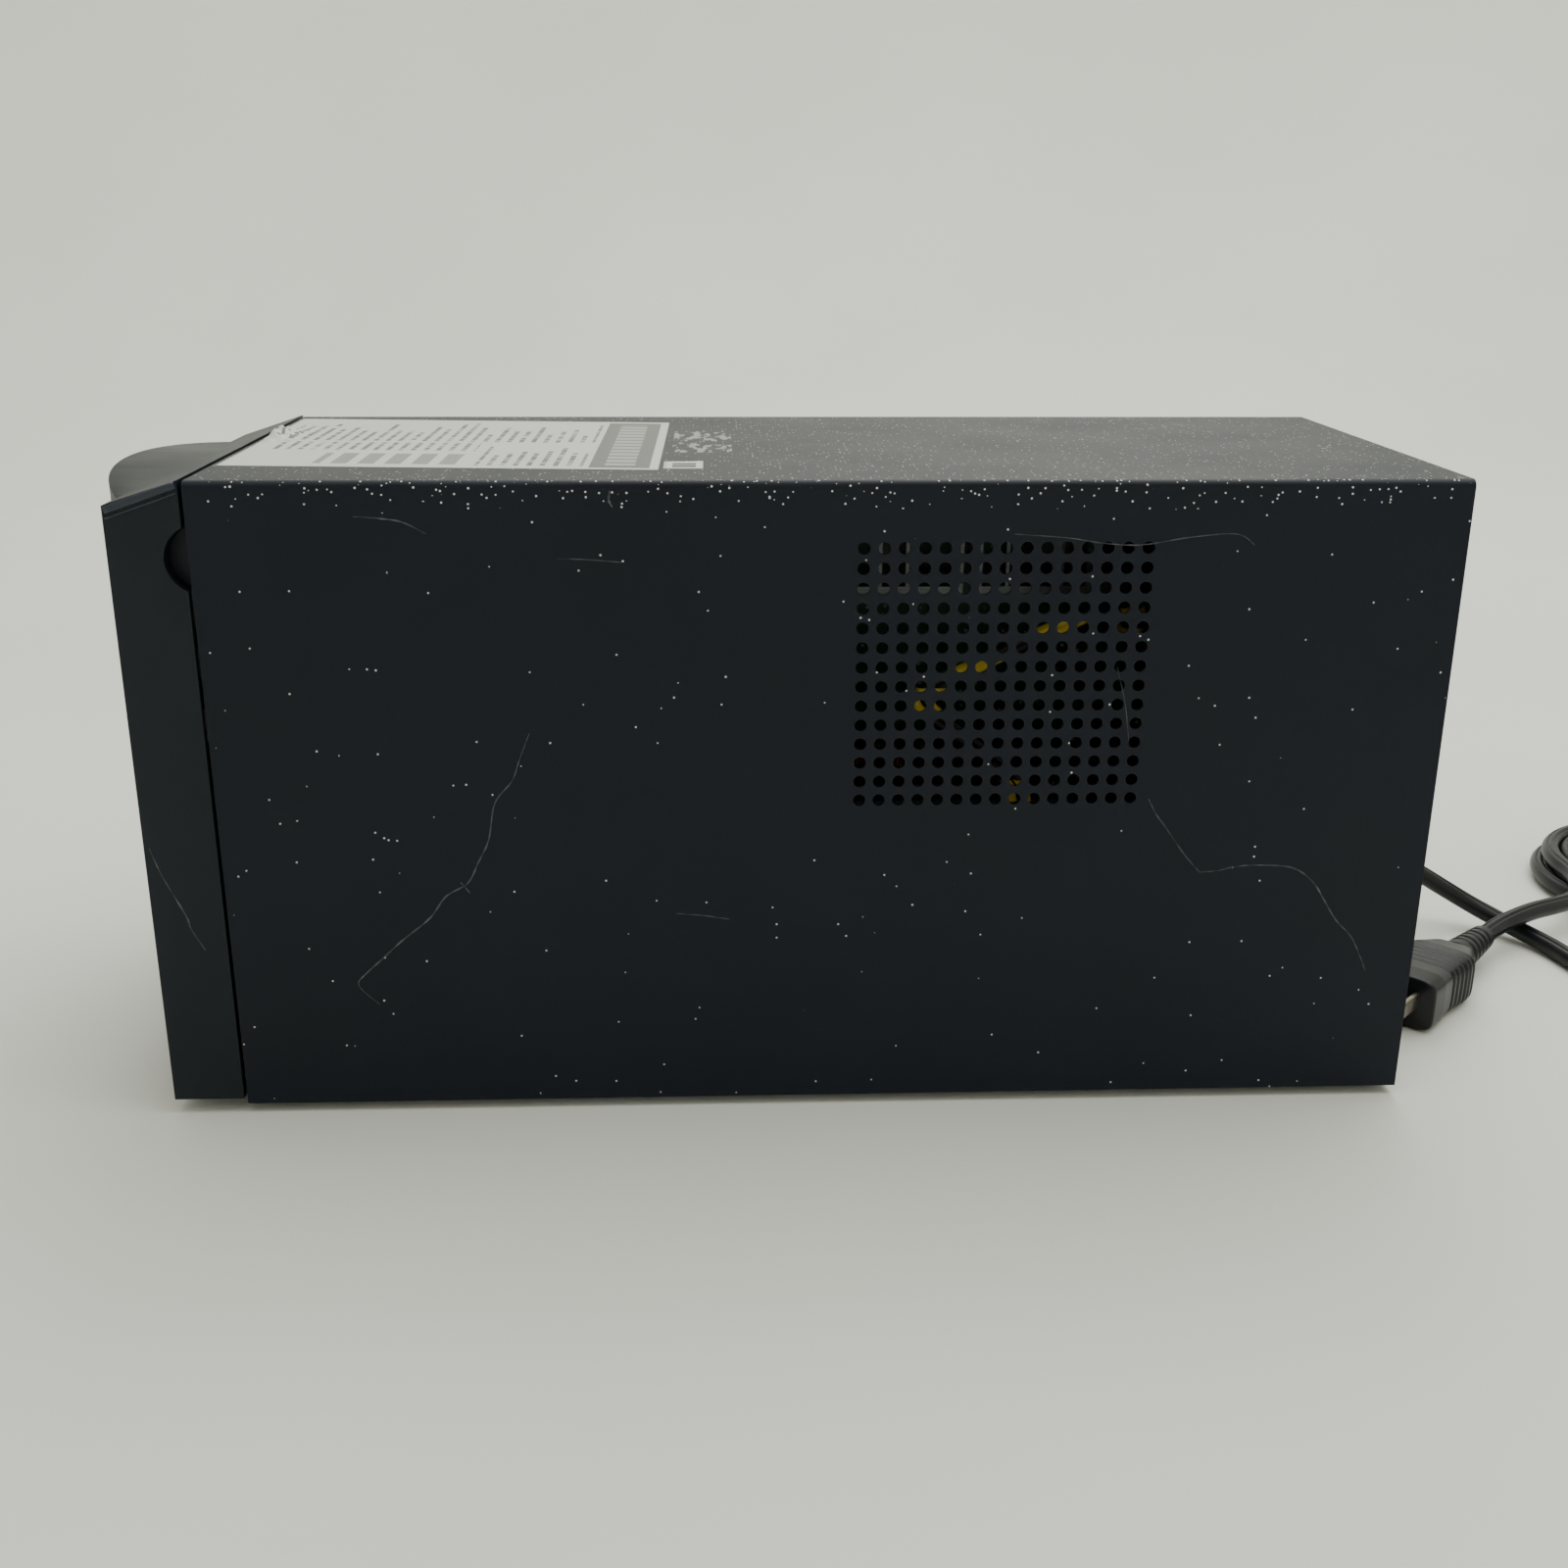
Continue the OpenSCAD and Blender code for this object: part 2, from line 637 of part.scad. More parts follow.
module line_jacks() {
    mid = y_jacks + jack[0] / 2;
    color("#1a1a1a") difference() {
        port_body(y_jacks, jack, 15);
        block([x_inside, x_panel + 1], [y_jacks - 1, y_jacks + jack[0] + 1],
            [z_port - 3, z_port + 0.1]);
        block([x_panel + 0.5 - jack_mouth[2], x_panel + 1],
            [mid - jack_mouth[0] / 2, mid + jack_mouth[0] / 2],
            [z_port + 2, z_port + 2 + jack_mouth[1]]);
    }
}
module slot_cover() {
    color("#23262b") difference() {
        block([x_panel, x_panel + 1.2], [y_slot, y_slot + slot_w], [z_slot, z_slot + slot_h]);
        for (y = [y_slot + 3, y_slot + slot_w - 3])
            rod_x([x_panel - 1, x_panel + 3], y, z_slot + slot_h / 2, 1.6);
    }
}
module slot_screws() {
    color("#c3c6c9")
        for (y = [y_slot + 3, y_slot + slot_w - 3])
            screw_x(x_panel + 1.2, y, z_slot + slot_h / 2, 2.8, 2, 1.55, 6);
}
module outlet_bank(y) {
    blade_y = 6.35;
    mid = y + bank_w / 2;
    color("#131416") difference() {
        union() {
            block([x_panel, x_panel + 2], [y, y + bank_w], [z_bank, z_bank + bank_h]);
            block([x_inside - bank_d, x_panel + eps], [y + bank_lip, y + bank_w - bank_lip],
                [z_bank + bank_lip, z_bank + bank_h - bank_lip]);
        }
        for (k = [0:3]) translate([0, 0, z_bank + (k + 0.5) * outlet_pitch]) {
            for (s = [-1, 1])
                block([x_panel - 17, x_panel + 3],
                    [mid + s * blade_y - 1.1, mid + s * blade_y + 1.1], [0.5 - s, 8.5 + s]);
            rod_x([x_panel - 18, x_panel + 3], mid, -5.5, 2.6);
            block([x_panel + 1.2, x_panel + 3], [y + 1.5, y + bank_w - 1.5],
                [-outlet_pitch / 2 - 0.25, -outlet_pitch / 2 + 0.25]);
        }
    }
}
module outlet_bank_outer() { outlet_bank(y_bank_outer); }
module outlet_bank_inner() { outlet_bank(y_bank_inner); }
module breaker_body() {
    color("#131416") difference() {
        union() {
            block([x_inside - 28, x_inside], [y_breaker - 8, y_breaker + 8],
                [z_breaker - 12, z_breaker + 12]);
            rod_x([x_inside - eps, x_panel + 3.5], y_breaker, z_breaker, breaker_r + 1.9);
            translate([x_panel, y_breaker, z_breaker]) rotate([0, 90, 0])
                cylinder(r = breaker_r + 4.5, h = 2.5, $fn = 6);
        }
        rod_x([x_inside - 12, x_panel + 4], y_breaker, z_breaker, breaker_r + slip_gap);
    }
}
module breaker_button() {
    color("#1a1a1a")
        rod_x([x_inside - 12 + breaker_travel + 0.6, x_back + rear_reach], y_breaker, z_breaker,
            breaker_r);
}
module earth_screw() {
    color("#b8963e") screw_x(x_panel, y_earth, z_earth, 4, 2.6, 1.95, 7);
}
module fan_frame() {
    x = [x_inside - fan_d, x_inside];
    color("#111214") difference() {
        union() {
            difference() {
                block(x, [y_fan - fan_size / 2, y_fan + fan_size / 2],
                    [z_fan - fan_size / 2, z_fan + fan_size / 2]);
                fan_cut([x[0] - 1, x[1] + 1], fan_bore_r);
            }
            rod_x([x[0], x[0] + 3], y_fan, z_fan, hub_r);
            for (a = [45:90:315])
                translate([0, y_fan, z_fan]) rotate([a, 0, 0])
                    block([x[0], x[0] + 3], [hub_r - 1, fan_bore_r + 1], [-2, 2]);
            rod_x([x[0], x[0] + 8], y_fan, z_fan, shaft_r + 2);
        }
        rod_x([x[0] + 1, x[0] + 9], y_fan, z_fan, shaft_r + running_gap);
        for (a = [-1, 1], b = [-1, 1])
            rod_x([x[0] - 1, x[1] + 1], y_fan + a * fan_hole_at, z_fan + b * fan_hole_at,
                fan_screw_r);
    }
}
module fan_rotor() {
    x = [x_inside - fan_d + 4, x_inside - fan_d + 4 + rotor_d];
    color("#1b1d20") {
        difference() {
            rod_x(x, y_fan, z_fan, hub_r);
            rod_x([x[0] - 1, x[0] + 6], y_fan, z_fan, hub_r - 2);
        }
        rod_x([x_inside - fan_d + 1.3, x[1] - 1], y_fan, z_fan, shaft_r);
        intersection() {
            difference() {
                rod_x(x, y_fan, z_fan, fan_bore_r - 1.2);
                rod_x([x[0] - 1, x[1] + 1], y_fan, z_fan, hub_r - 0.5);
            }
            for (k = [0:6])
                translate([(x[0] + x[1]) / 2, y_fan, z_fan]) rotate([360 / 7 * k, 0, 0])
                    translate([0, hub_r - 1, 0]) rotate([0, 40, 0])
                        block([-0.9, 0.9], [0, fan_bore_r], [-9, 9]);
        }
    }
}
// Rings welded on top of four spokes, which end in eyes for the screws
module fan_guard() {
    wire = 1.6;
    hub = 9;
    color("#b4b8bb") {
        for (k = [0:3])
            let (r = hub + k * (fan_bore_r + 0.5 - hub) / 3)
                difference() {
                    fan_cut([x_panel + wire - 0.4, x_panel + 2 * wire - 0.4], r + wire / 2);
                    fan_cut([x_panel, x_panel + 2 * wire], r - wire / 2);
                }
        for (a = [45:90:315])
            translate([0, y_fan, z_fan]) rotate([a, 0, 0])
                block([x_panel, x_panel + wire], [hub - 1.5, fan_hole_at * sqrt(2) - 3],
                    [-wire / 2, wire / 2]);
        for (a = [-1, 1], b = [-1, 1]) difference() {
            rod_x([x_panel, x_panel + wire], y_fan + a * fan_hole_at, z_fan + b * fan_hole_at, 3.6);
            rod_x([x_panel - 1, x_panel + 3], y_fan + a * fan_hole_at, z_fan + b * fan_hole_at,
                fan_screw_r);
        }
    }
}
module fan_screws() {
    color("#c3c6c9")
        for (a = [-1, 1], b = [-1, 1])
            screw_x(x_panel + 1.6, y_fan + a * fan_hole_at, z_fan + b * fan_hole_at, 3.4, 2,
                fan_screw_r - 0.05, 12);
}
module cord_gland() {
    color("#141517") difference() {
        union() {
            rod_x([x_inside - 6, x_panel + eps], y_gland, z_gland, gland_r - 0.05);
            rod_x([x_inside - 6, x_inside - 2], y_gland, z_gland, gland_r + 2);
            rod_x([x_panel, x_mouth], y_gland, z_gland, gland_r + 2.5);
        }
        rod_x([x_inside - 7, x_mouth + 1], y_gland, z_gland, cord_r);
    }
}

// ---- Bezel ----
module strip_outline(inset) {
    polygon([[x_side + inset, z_bezel + inset], [x_seam + (inset > 0 ? 1 : 0), z_bezel + inset],
        [x_seam + (inset > 0 ? 1 : 0), z_strip - inset], [x_side + inset, z_strip_front - inset]]);
}
module bow(inset) {
    intersection() {
        translate([x_nose + bow_r, 0, z_bezel + inset])
            cylinder(r = bow_r - inset, h = case_h, $fn = 200);
        translate([0, 0, z_crown - crown_r])
            rod_x([x_nose - 1, x_seam - 2], 0, 0, crown_r - inset, $fn = 400);
        block([x_nose - 1, min(x_crown_end, x_seam - 2)], [-hood_half_w - 6, hood_half_w + 6],
            [z_bezel + inset, z_top]);
    }
}
module button_places() {
    translate([0, 0, z_power]) {
        children(0);
        for (s = [-1, 1]) translate([0, s * menu_y, 0]) children(1);
    }
}
module bezel_shell() {
    color("#1a1c20") {
        difference() {
            union() {
                along_y([-half_w, half_w]) strip_outline(0);
                bow(0);
            }
            along_y([bezel_wall - half_w, half_w - bezel_wall]) strip_outline(bezel_wall);
            bow(bezel_wall);
            block([x_nose - 1, x_nose + 14], [-window_w / 2 - fit_gap, window_w / 2 + fit_gap],
                [z_window - fit_gap, z_window + window_h + fit_gap]);
            button_places() {
                rod_x([x_nose - 1, x_nose + 9], 0, 0, power_r + slip_gap);
                rod_x([x_nose - 1, x_nose + 9], 0, 0, menu_r + slip_gap);
            }
            for (k = [-1:1])
                rod_x([x_nose - 1, x_nose + 9], k * 12, z_power - power_r - 8, 1.5);
            rod_y([-half_w - 1, half_w + 1], x_seam + notch_r - notch_depth, z_top - notch_drop,
                notch_r);
        }
        for (y = [-post_y, post_y], z = [z_window - 4, z_window + window_h - 1])
            difference() {
                rod_x([x_nose + 5, x_display], y, z, 3);
                rod_x([x_nose + 9, x_display + 1], y, z, 1.1);
            }
        for (s = [-1, 1])
            block([x_side + 1.5, x_frame + 4],
                [s * clip_y - clip_w / 2, s * clip_y + clip_w / 2], [z_clip, z_clip + clip_t]);
        for (s = [-1, 1], e = [-1, 1])
            block([x_side + 1.5, x_seam - 4],
                [s * clip_y + e * (clip_w / 2 - 1) - 1, s * clip_y + e * (clip_w / 2 - 1) + 1],
                [z_clip + eps, z_strip_front - 1]);
    }
}
module display_window() {
    color("#0c1420") block([x_window, x_window + window_t], [-window_w / 2, window_w / 2],
        [z_window, z_window + window_h]);
}
module lcd_module() {
    color("#3c4a44") block([x_window + window_t, x_display], [4 - window_w / 2, window_w / 2 - 4],
        [z_window + 4, z_window + window_h - 4]);
}
module display_board() {
    low = z_power - power_r - 14;
    color("#1f5a34") difference() {
        block([x_display, x_display + board_t], [-post_y - 5, post_y + 5],
            [low, z_window + window_h + 4]);
        for (y = [-post_y, post_y], z = [z_window - 4, z_window + window_h - 1])
            rod_x([x_display - 1, x_display + 3], y, z, 1.6);
    }
    color("#1c1c1e") button_places() {
        block([x_display - switch_h, x_display], [-3, 3], [-3, 3]);
        block([x_display - switch_h, x_display], [-3, 3], [-3, 3]);
    }
}
module light_pipes() {
    color("#d9e6df")
        for (k = [-1:1])
            rod_x([x_nose + 1.2, x_display], k * 12, z_power - power_r - 8, 1.45);
}
module push_button(r) {
    rear = x_display - switch_h - button_travel - 0.5;
    rod_x([x_nose + button_face + 0.4, rear], 0, 0, r);
    rod_x([rear - 1.4, rear], 0, 0, r + 1.6);
}
module power_button() { color("#2a2d31") translate([0, 0, z_power]) push_button(power_r); }
module scroll_button() {
    color("#2a2d31") translate([0, -menu_y, z_power]) push_button(menu_r);
}
module select_button() {
    color("#2a2d31") translate([0, menu_y, z_power]) push_button(menu_r);
}

// ---- Battery tray ----
module battery_tray() {
    lip = 22;
    door = [z_opening + 0.5, z_opening_top + 10];
    color("#8f9499") difference() {
        union() {
            block([x_door, x_tray_end], [-tray_half, tray_half], [z_tray, z_batt]);
            for (s = [-1, 1])
                block([x_frame, x_tray_end],
                    [s * tray_half - (s + 1) / 2 * tray_t, s * tray_half - (s - 1) / 2 * tray_t],
                    [z_tray, z_batt + lip]);
            block([x_tray_end - tray_t, x_tray_end], [-tray_half, tray_half],
                [z_tray, z_batt + lip]);
            block([x_door, x_door + tray_t],
                [-opening_half - door_lap + 0.8, opening_half + door_lap - 0.8], door);
        }
        for (s = [-1, 1])
            rod_x([x_door - 1, x_door + 3], s * (opening_half - 12), z_opening_top + 5, 1.6);
    }
}
module battery(s) {
    rim = 3;
    y = s > 0 ? batt_gap / 2 : -batt_gap / 2 - batt_w;
    color("#24272b") {
        block([x_batt, x_batt + batt_l], [y, y + batt_w], [z_batt, z_batt + batt_h - rim]);
        block([x_batt + 2, x_batt + batt_l - 2], [y + 2, y + batt_w - 2],
            [z_batt + batt_h - rim - eps, z_batt + batt_h]);
    }
}
module battery_left() { battery(-1); }
module battery_right() { battery(1); }
module battery_terminals() {
    color("#b9bdc1")
        for (s = [-1, 1], k = [0, 1]) {
            y = s * (batt_gap / 2 + batt_w / 2) + (k - 0.5) * batt_w * 0.62;
            block([x_batt + batt_l - 20, x_batt + batt_l - 8], [y - 5, y + 5],
                [z_batt + batt_h, z_batt + batt_h + terminal_h]);
        }
}
module battery_leads() {
    z = z_batt + batt_h + terminal_h;
    rear = x_tray_end - 0.5;
    for (s = [-1, 1]) {
        y = s * (batt_gap / 2 + batt_w / 2 + 0.31 * batt_w);
        color(s > 0 ? "#b3201c" : "#151515")
            tube(smooth_route([[x_batt + batt_l - 22, y, z - 1.4],
                [x_batt + batt_l - 34, y - s * 4, z - 1.3],
                [x_batt + batt_l - 42, y - s * 16, z - 1.2],
                [x_batt + batt_l - 40, s * 30, z - 1.2],
                [x_batt + batt_l - 30, s * 14, z - 1.2], [x_batt + batt_l - 20, s * 8, z - 1.2],
                [rear - 9, s * 8, z - 1.2]], 3), 1.6, 8, [0, 0, 1]);
    }
    y = batt_gap / 2 + 0.19 * batt_w;
    color("#151515") block([x_batt + batt_l - 16, x_batt + batt_l - 12], [5 - y, y - 5],
        [z - terminal_h, z - 0.5]);
}
module battery_plug() {
    color("#9a9da0") block([x_tray_end - 9.5, x_tray_end + 4], [-16, 16],
        [z_batt + batt_h, z_batt + batt_h + 5]);
}
module bay_socket() {
    color("#55585c") block([x_tray_end + 4 + fit_gap, x_bay_end + 8],
        [-socket_half, socket_half], [z_socket, z_socket + socket_h]);
}
module tray_handle() {
    reach = 14;
    color("#141517") {
        for (s = [-1, 1])
            rod_x([x_door - reach, x_door], s * 42, z_shelf - 40, 3.5);
        rod_y([-48, 48], x_door - reach, z_shelf - 40, 4.5);
    }
}
module tray_screws() {
    color("#c3c6c9")
        for (s = [-1, 1])
            translate([x_door, s * (opening_half - 12), z_opening_top + 5]) {
                rod_x([-4.5, 0], 0, 0, 4.5);
                rod_x([-eps, 3.6], 0, 0, 1.5);
            }
}

// ---- Cord ----
module cord_relief() {
    reach = lead_route[0][0] - x_mouth;
    color("#15171a") translate([x_mouth, y_gland, z_gland]) rotate([0, 90, 0])
        rotate_extrude() polygon([[0, 0], [relief_root_r, 0], [relief_tip_r, reach], [0, reach]]);
}
module cord_lead() { color("#1d2024") tube(smooth_route(lead_route, 2), cord_r, 10, [0, 1, 0]); }
module cord_tail() { color("#1d2024") tube(smooth_route(tail_route, 2), cord_r, 10, [1, 0, 0]); }
// Section of the wound turns, grown on every side
module bundle(grow) {
    translate([cord_r, -grow]) square([2 * (coil_half - cord_r), coil_h + 2 * grow]);
    translate([-grow, cord_r]) square([2 * (coil_half + grow), coil_h - cord_d]);
    for (x = [cord_r, 2 * coil_half - cord_r], z = [cord_r, coil_h - cord_r])
        translate([x, z]) circle(r = cord_r + grow);
}
module wound() {
    translate([coil_at[0], coil_at[1], tie_t]) rotate_extrude($fn = 96)
        translate([coil_r - coil_half, 0]) children();
}
module cord_coil() { color("#1d2024") wound() bundle(0); }
// Strap round the turns, at the side that faces away from the unit's middle
module cord_tie() {
    color("#26282c") intersection() {
        wound() difference() {
            bundle(tie_t);
            bundle(0);
        }
        block([coil_at[0] - tie_w / 2, coil_at[0] + tie_w / 2],
            [coil_at[1], coil_at[1] + coil_r + coil_half + 2 * tie_t], [-1, coil_h + 3 * tie_t]);
    }
}
module plug_body() {
    color("#1d2024") translate([plug_at[0], plug_at[1], plug_h / 2]) rotate([0, 0, plug_turn]) {
        difference() {
            block([0, plug_l], [-plug_w / 2, plug_w / 2], [-plug_h / 2, plug_h / 2]);
            for (s = [-1, 1])
                translate([0, s * plug_w / 2, 0]) rotate([0, 0, s * 45])
                    cube([12, 12, plug_h + 2], center = true);
        }
        rotate([0, -90, 0]) rotate_extrude()
            polygon([[0, -eps], [relief_root_r, -eps], [relief_tip_r, relief_l], [0, relief_l]]);
        for (s = [-1, 1])
            block([plug_l - eps, plug_l + 17], [s * 6.35 - 0.75, s * 6.35 + 0.75], [-1, 5.3]);
        translate([plug_l - eps, 0, -6]) rotate([0, 90, 0]) cylinder(r = 2.4, h = 19);
    }
}

top_cover();
base_tray();
rear_panel();
front_frame();
rubber_feet();
cover_screws();
top_label();
barcode_label();
battery_bay();
transformer_core();
transformer_coil();
transformer_bracket();
transformer_leads();
board_plate();
board_spacers();
main_board();
heat_sinks();
power_transistors();
capacitors();
relays();
line_choke();
comm_board();
usb_port();
serial_port();
line_jacks();
slot_cover();
slot_screws();
outlet_bank_inner();
outlet_bank_outer();
breaker_body();
breaker_button();
earth_screw();
fan_frame();
fan_rotor();
fan_guard();
fan_screws();
cord_gland();
bezel_shell();
display_window();
lcd_module();
display_board();
light_pipes();
power_button();
scroll_button();
select_button();
battery_tray();
battery_left();
battery_right();
battery_terminals();
battery_leads();
battery_plug();
bay_socket();
tray_handle();
tray_screws();
cord_relief();
cord_lead();
cord_coil();
cord_tail();
cord_tie();
plug_body();
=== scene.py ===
import math

import bmesh
import bpy
import numpy as np
from bpy.props import FloatProperty, FloatVectorProperty, IntProperty, PointerProperty
from mathutils import Matrix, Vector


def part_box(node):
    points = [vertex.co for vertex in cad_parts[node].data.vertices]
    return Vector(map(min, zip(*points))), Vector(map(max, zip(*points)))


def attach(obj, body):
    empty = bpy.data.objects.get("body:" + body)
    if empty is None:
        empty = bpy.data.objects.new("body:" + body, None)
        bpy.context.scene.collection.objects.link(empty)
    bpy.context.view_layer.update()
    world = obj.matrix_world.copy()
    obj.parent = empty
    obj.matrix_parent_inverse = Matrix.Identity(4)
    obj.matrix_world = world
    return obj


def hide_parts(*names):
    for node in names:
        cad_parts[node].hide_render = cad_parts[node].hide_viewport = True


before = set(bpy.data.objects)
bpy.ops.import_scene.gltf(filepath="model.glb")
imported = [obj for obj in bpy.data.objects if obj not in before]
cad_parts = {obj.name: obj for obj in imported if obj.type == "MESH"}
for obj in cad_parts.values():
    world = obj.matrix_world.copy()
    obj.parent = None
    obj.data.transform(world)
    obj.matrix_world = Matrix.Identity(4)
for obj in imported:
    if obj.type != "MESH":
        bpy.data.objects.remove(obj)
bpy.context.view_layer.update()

bl_info = {
    "name": "Tower battery backup",
    "version": (1, 0, 0),
    "blender": (4, 5, 0),
    "location": "View3D > Sidebar > Battery Backup",
    "description": "Finished surfaces, mains cord and studio for a tower battery backup unit",
    "category": "Object",
}

MM = 0.001
COVER_LOW, COVER_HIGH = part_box("top_cover")
BEZEL_LOW, BEZEL_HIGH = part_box("bezel_shell")
GLAND_LOW, GLAND_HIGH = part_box("cord_gland")

# Routes of the cord in millimetres: from the rear relief to the coil, and from the coil to the plug
LEAD_ROUTE = [
    (250, 64, 33.5), (263, 64, 33.2), (275, 64, 30.5), (286, 64, 25), (297, 63, 18.5), (309, 59, 11.8),
    (320, 51, 7), (328, 40, 4.8), (333, 27, 4.2), (336, 13, 4.2), (341, 0, 4.2), (351, -13, 4.2),
    (367, -23, 4.2), (387, -27, 4.2), (408, -24, 4.2), (428, -13, 4.2), (445, 5, 4.2), (458, 29, 4.2),
    (466, 55, 4.5), (469.6, 80, 5), (470, 100, 5.2)]
TAIL_ROUTE = [
    (370, 100, 13), (370, 90, 12.8), (368, 79, 12.6), (363, 68, 12.8), (354, 58, 13.2), (343, 51, 13.8),
    (331, 45, 14), (320, 39, 13.4), (310, 33, 12.2), (300.2, 25.2, 11)]
COIL_CENTRE = (418, 100)
COIL_TURNS = 4.5
# Turn number against radius and against height: three turns on the floor, then two on top
COIL_RADII = ([0, 0.7, 1.05, 1.7, 2.05, 2.85, 3.1, 3.65, 4.05, 4.5],
              [52, 52, 44, 44, 36, 36.2, 40, 40, 48, 48])
COIL_HEIGHTS = ([0, 2.7, 2.9, 4.5], [5.2, 5.2, 13, 13])
PLUG_CENTRE = (279, 4, 11)
PLUG_TURN = math.radians(225)

# The camera's place in millimetres, its turn, tilt and roll in degrees, and its lens in millimetres
CAMERA_PLACE = (-21.812, -615.051, 300.620)
CAMERA_ANGLES = (2.4531, 18.8685, 0.2997)
CAMERA_LENS = 38.835

# The rating label's film in millimetres: from front to rear, and across
LABEL_LENGTH = 145.0
LABEL_WIDTH = 127.0

# Distances in metres that keep a scratch, and a label, just off the face that it lies on
SCRATCH_GAP = 0.00002
LABEL_GAP = 0.00006

# Which sockets of a colour mix are its factor, its two colours and its result
FACTOR = 0
FIRST = 6
SECOND = 7
MIXED = 2

# Heights in millimetres between which the transformer's yellow leads show; outside them the leads are
# painted near-black as painted shade inside the case
YELLOW_HEIGHTS = [(106, 112), (136, 144), (149, 155), (161, 168)]

# Scratches on the near side in millimetres: half width, then distances behind the cover's front edge and
# above its lower edge
SIDE_SCRATCHES = [
    (0.34, [(103.3, 134.3), (99.7, 125.3), (96.9, 117.9), (90.9, 110.1), (88.3, 97.5), (84.4, 89.3),
            (80.5, 81.9), (72.9, 77.1), (67.1, 69.3), (57.2, 61.1), (49.3, 53.7), (43.8, 48.6),
            (41.5, 45.7), (42.9, 42.6), (48.2, 37.4)]),
    (0.26, [(308.7, 109.7), (311.5, 104.4), (315.5, 99.1), (322.3, 89.7), (328.2, 83)]),
    (0.3, [(328.2, 83), (334.5, 83.5), (340.9, 85), (350.5, 85.3), (360.6, 84.1), (367.9, 78.8),
           (372.8, 71.6), (377.5, 64.5), (383.2, 58.6), (387.3, 51.1), (389.9, 45.4)]),
    (0.3, [(51.8, 205.1), (59.5, 204.5), (66.8, 203.3), (74.1, 199.6)]),
    (0.2, [(114.3, 191.7), (124.2, 191.3), (134.9, 190.4)]),
    (0.24, [(259, 199.1), (276.3, 197.8), (287.5, 196.1), (300, 195.5), (315.5, 197.9), (330.3, 198.9),
            (336.4, 195.4)]),
    (0.16, [(294.9, 155.6), (298.5, 142.5), (300.7, 128.7)]),
    (0.2, [(150, 70), (159.5, 69.1), (168.3, 67.6)]),
    (0.5, [(131.6, 212.9), (131.2, 210.1), (132.3, 207.7)]),
    (0.3, [(78.1, 82.3), (81.2, 78.1)])]
BEZEL_SCRATCHES = [
    (0.3, [(-23.2, 95.7), (-20.2, 86), (-13.7, 71), (-12.6, 66.4), (-8.6, 58.4)])]


def linear(code):
    """An sRGB hex code as linear red, green, blue and alpha: each channel's curve is undone."""
    channels = [int(code[i:i + 2], 16) / 255 for i in (0, 2, 4)]
    return (*[c / 12.92 if c <= 0.04045 else ((c + 0.055) / 1.055) ** 2.4 for c in channels], 1.0)


class BatteryBackupCord(bpy.types.PropertyGroup):
    """Sizes and colour of the mains cord."""
    width: FloatProperty(
        name="Cord width", description="Width of the cord's sheath", default=0.008, unit="LENGTH")
    height: FloatProperty(
        name="Cord height", description="Height of the cord's sheath", default=0.0076, unit="LENGTH")
    groove: FloatProperty(
        name="Groove depth", description="Depth of the grooves between the three cores",
        default=0.0008, unit="LENGTH")
    length: FloatProperty(
        name="Cord length", description="Length from the rear panel to the plug", default=1.76,
        unit="LENGTH")
    colour: FloatVectorProperty(
        name="Sheath colour", description="Colour of the cord and plug", subtype="COLOR", size=4,
        default=linear("121417"))


class BatteryBackupCase(bpy.types.PropertyGroup):
    """Colours and wear of the case and the bezel."""
    paint: FloatVectorProperty(
        name="Paint", description="Powder coat of the steel case", subtype="COLOR", size=4,
        default=linear("0a111c"))
    bezel: FloatVectorProperty(
        name="Bezel", description="Moulded plastic of the bezel", subtype="COLOR", size=4,
        default=linear("11171f"))
    edge: FloatProperty(
        name="Bezel edge", description="Rounding of the bezel's moulded edges", default=0.0011,
        unit="LENGTH")
    rail: FloatProperty(
        name="Trim height", description="Height of the raised trim under the bezel's top strip",
        default=0.0026, unit="LENGTH")
    label: FloatVectorProperty(
        name="Label", description="Film of the rating label", subtype="COLOR", size=4,
        default=linear("c3c6c3"))


class BatteryBackupStudio(bpy.types.PropertyGroup):
    """The room, its light and the paper floor."""
    floor: FloatVectorProperty(
        name="Floor", description="Colour of the floor and wall", subtype="COLOR", size=4,
        default=linear("dedfd9"))
    daylight: FloatProperty(
        name="Room light", description="Strength of the light from all round", default=0.82, min=0)
    softbox: FloatProperty(
        name="Softbox", description="Power of the lamp overhead, in watts", default=35, min=0)
    radius: FloatProperty(
        name="Wall distance", description="Radius of the round wall", default=2.4, unit="LENGTH")
    segments: IntProperty(
        name="Wall segments", description="Facets round the wall", default=96, min=16)


# ---- Shapes ----

def outward(points, faces):
    """Faces turned round where the solid's volume, summed from its triangles, comes out negative."""
    corners = points[faces]
    volume = 0.0
    for k in range(1, faces.shape[1] - 1):
        volume += np.einsum("ij,ij->", corners[:, 0], np.cross(corners[:, k], corners[:, k + 1]))
    return faces[:, ::-1] if volume < 0 else faces


def grid_faces(rows, columns, close=True):
    """Quads between neighbouring points of a grid; with close, each row joins up with its own start."""
    row = np.arange(rows - 1)[:, None] * columns
    here = np.arange(columns if close else columns - 1)[None, :]
    beside = (here + 1) % columns
    corners = (row + here, row + beside, row + columns + beside, row + columns + here)
    return np.stack(corners, -1).reshape(-1, 4)


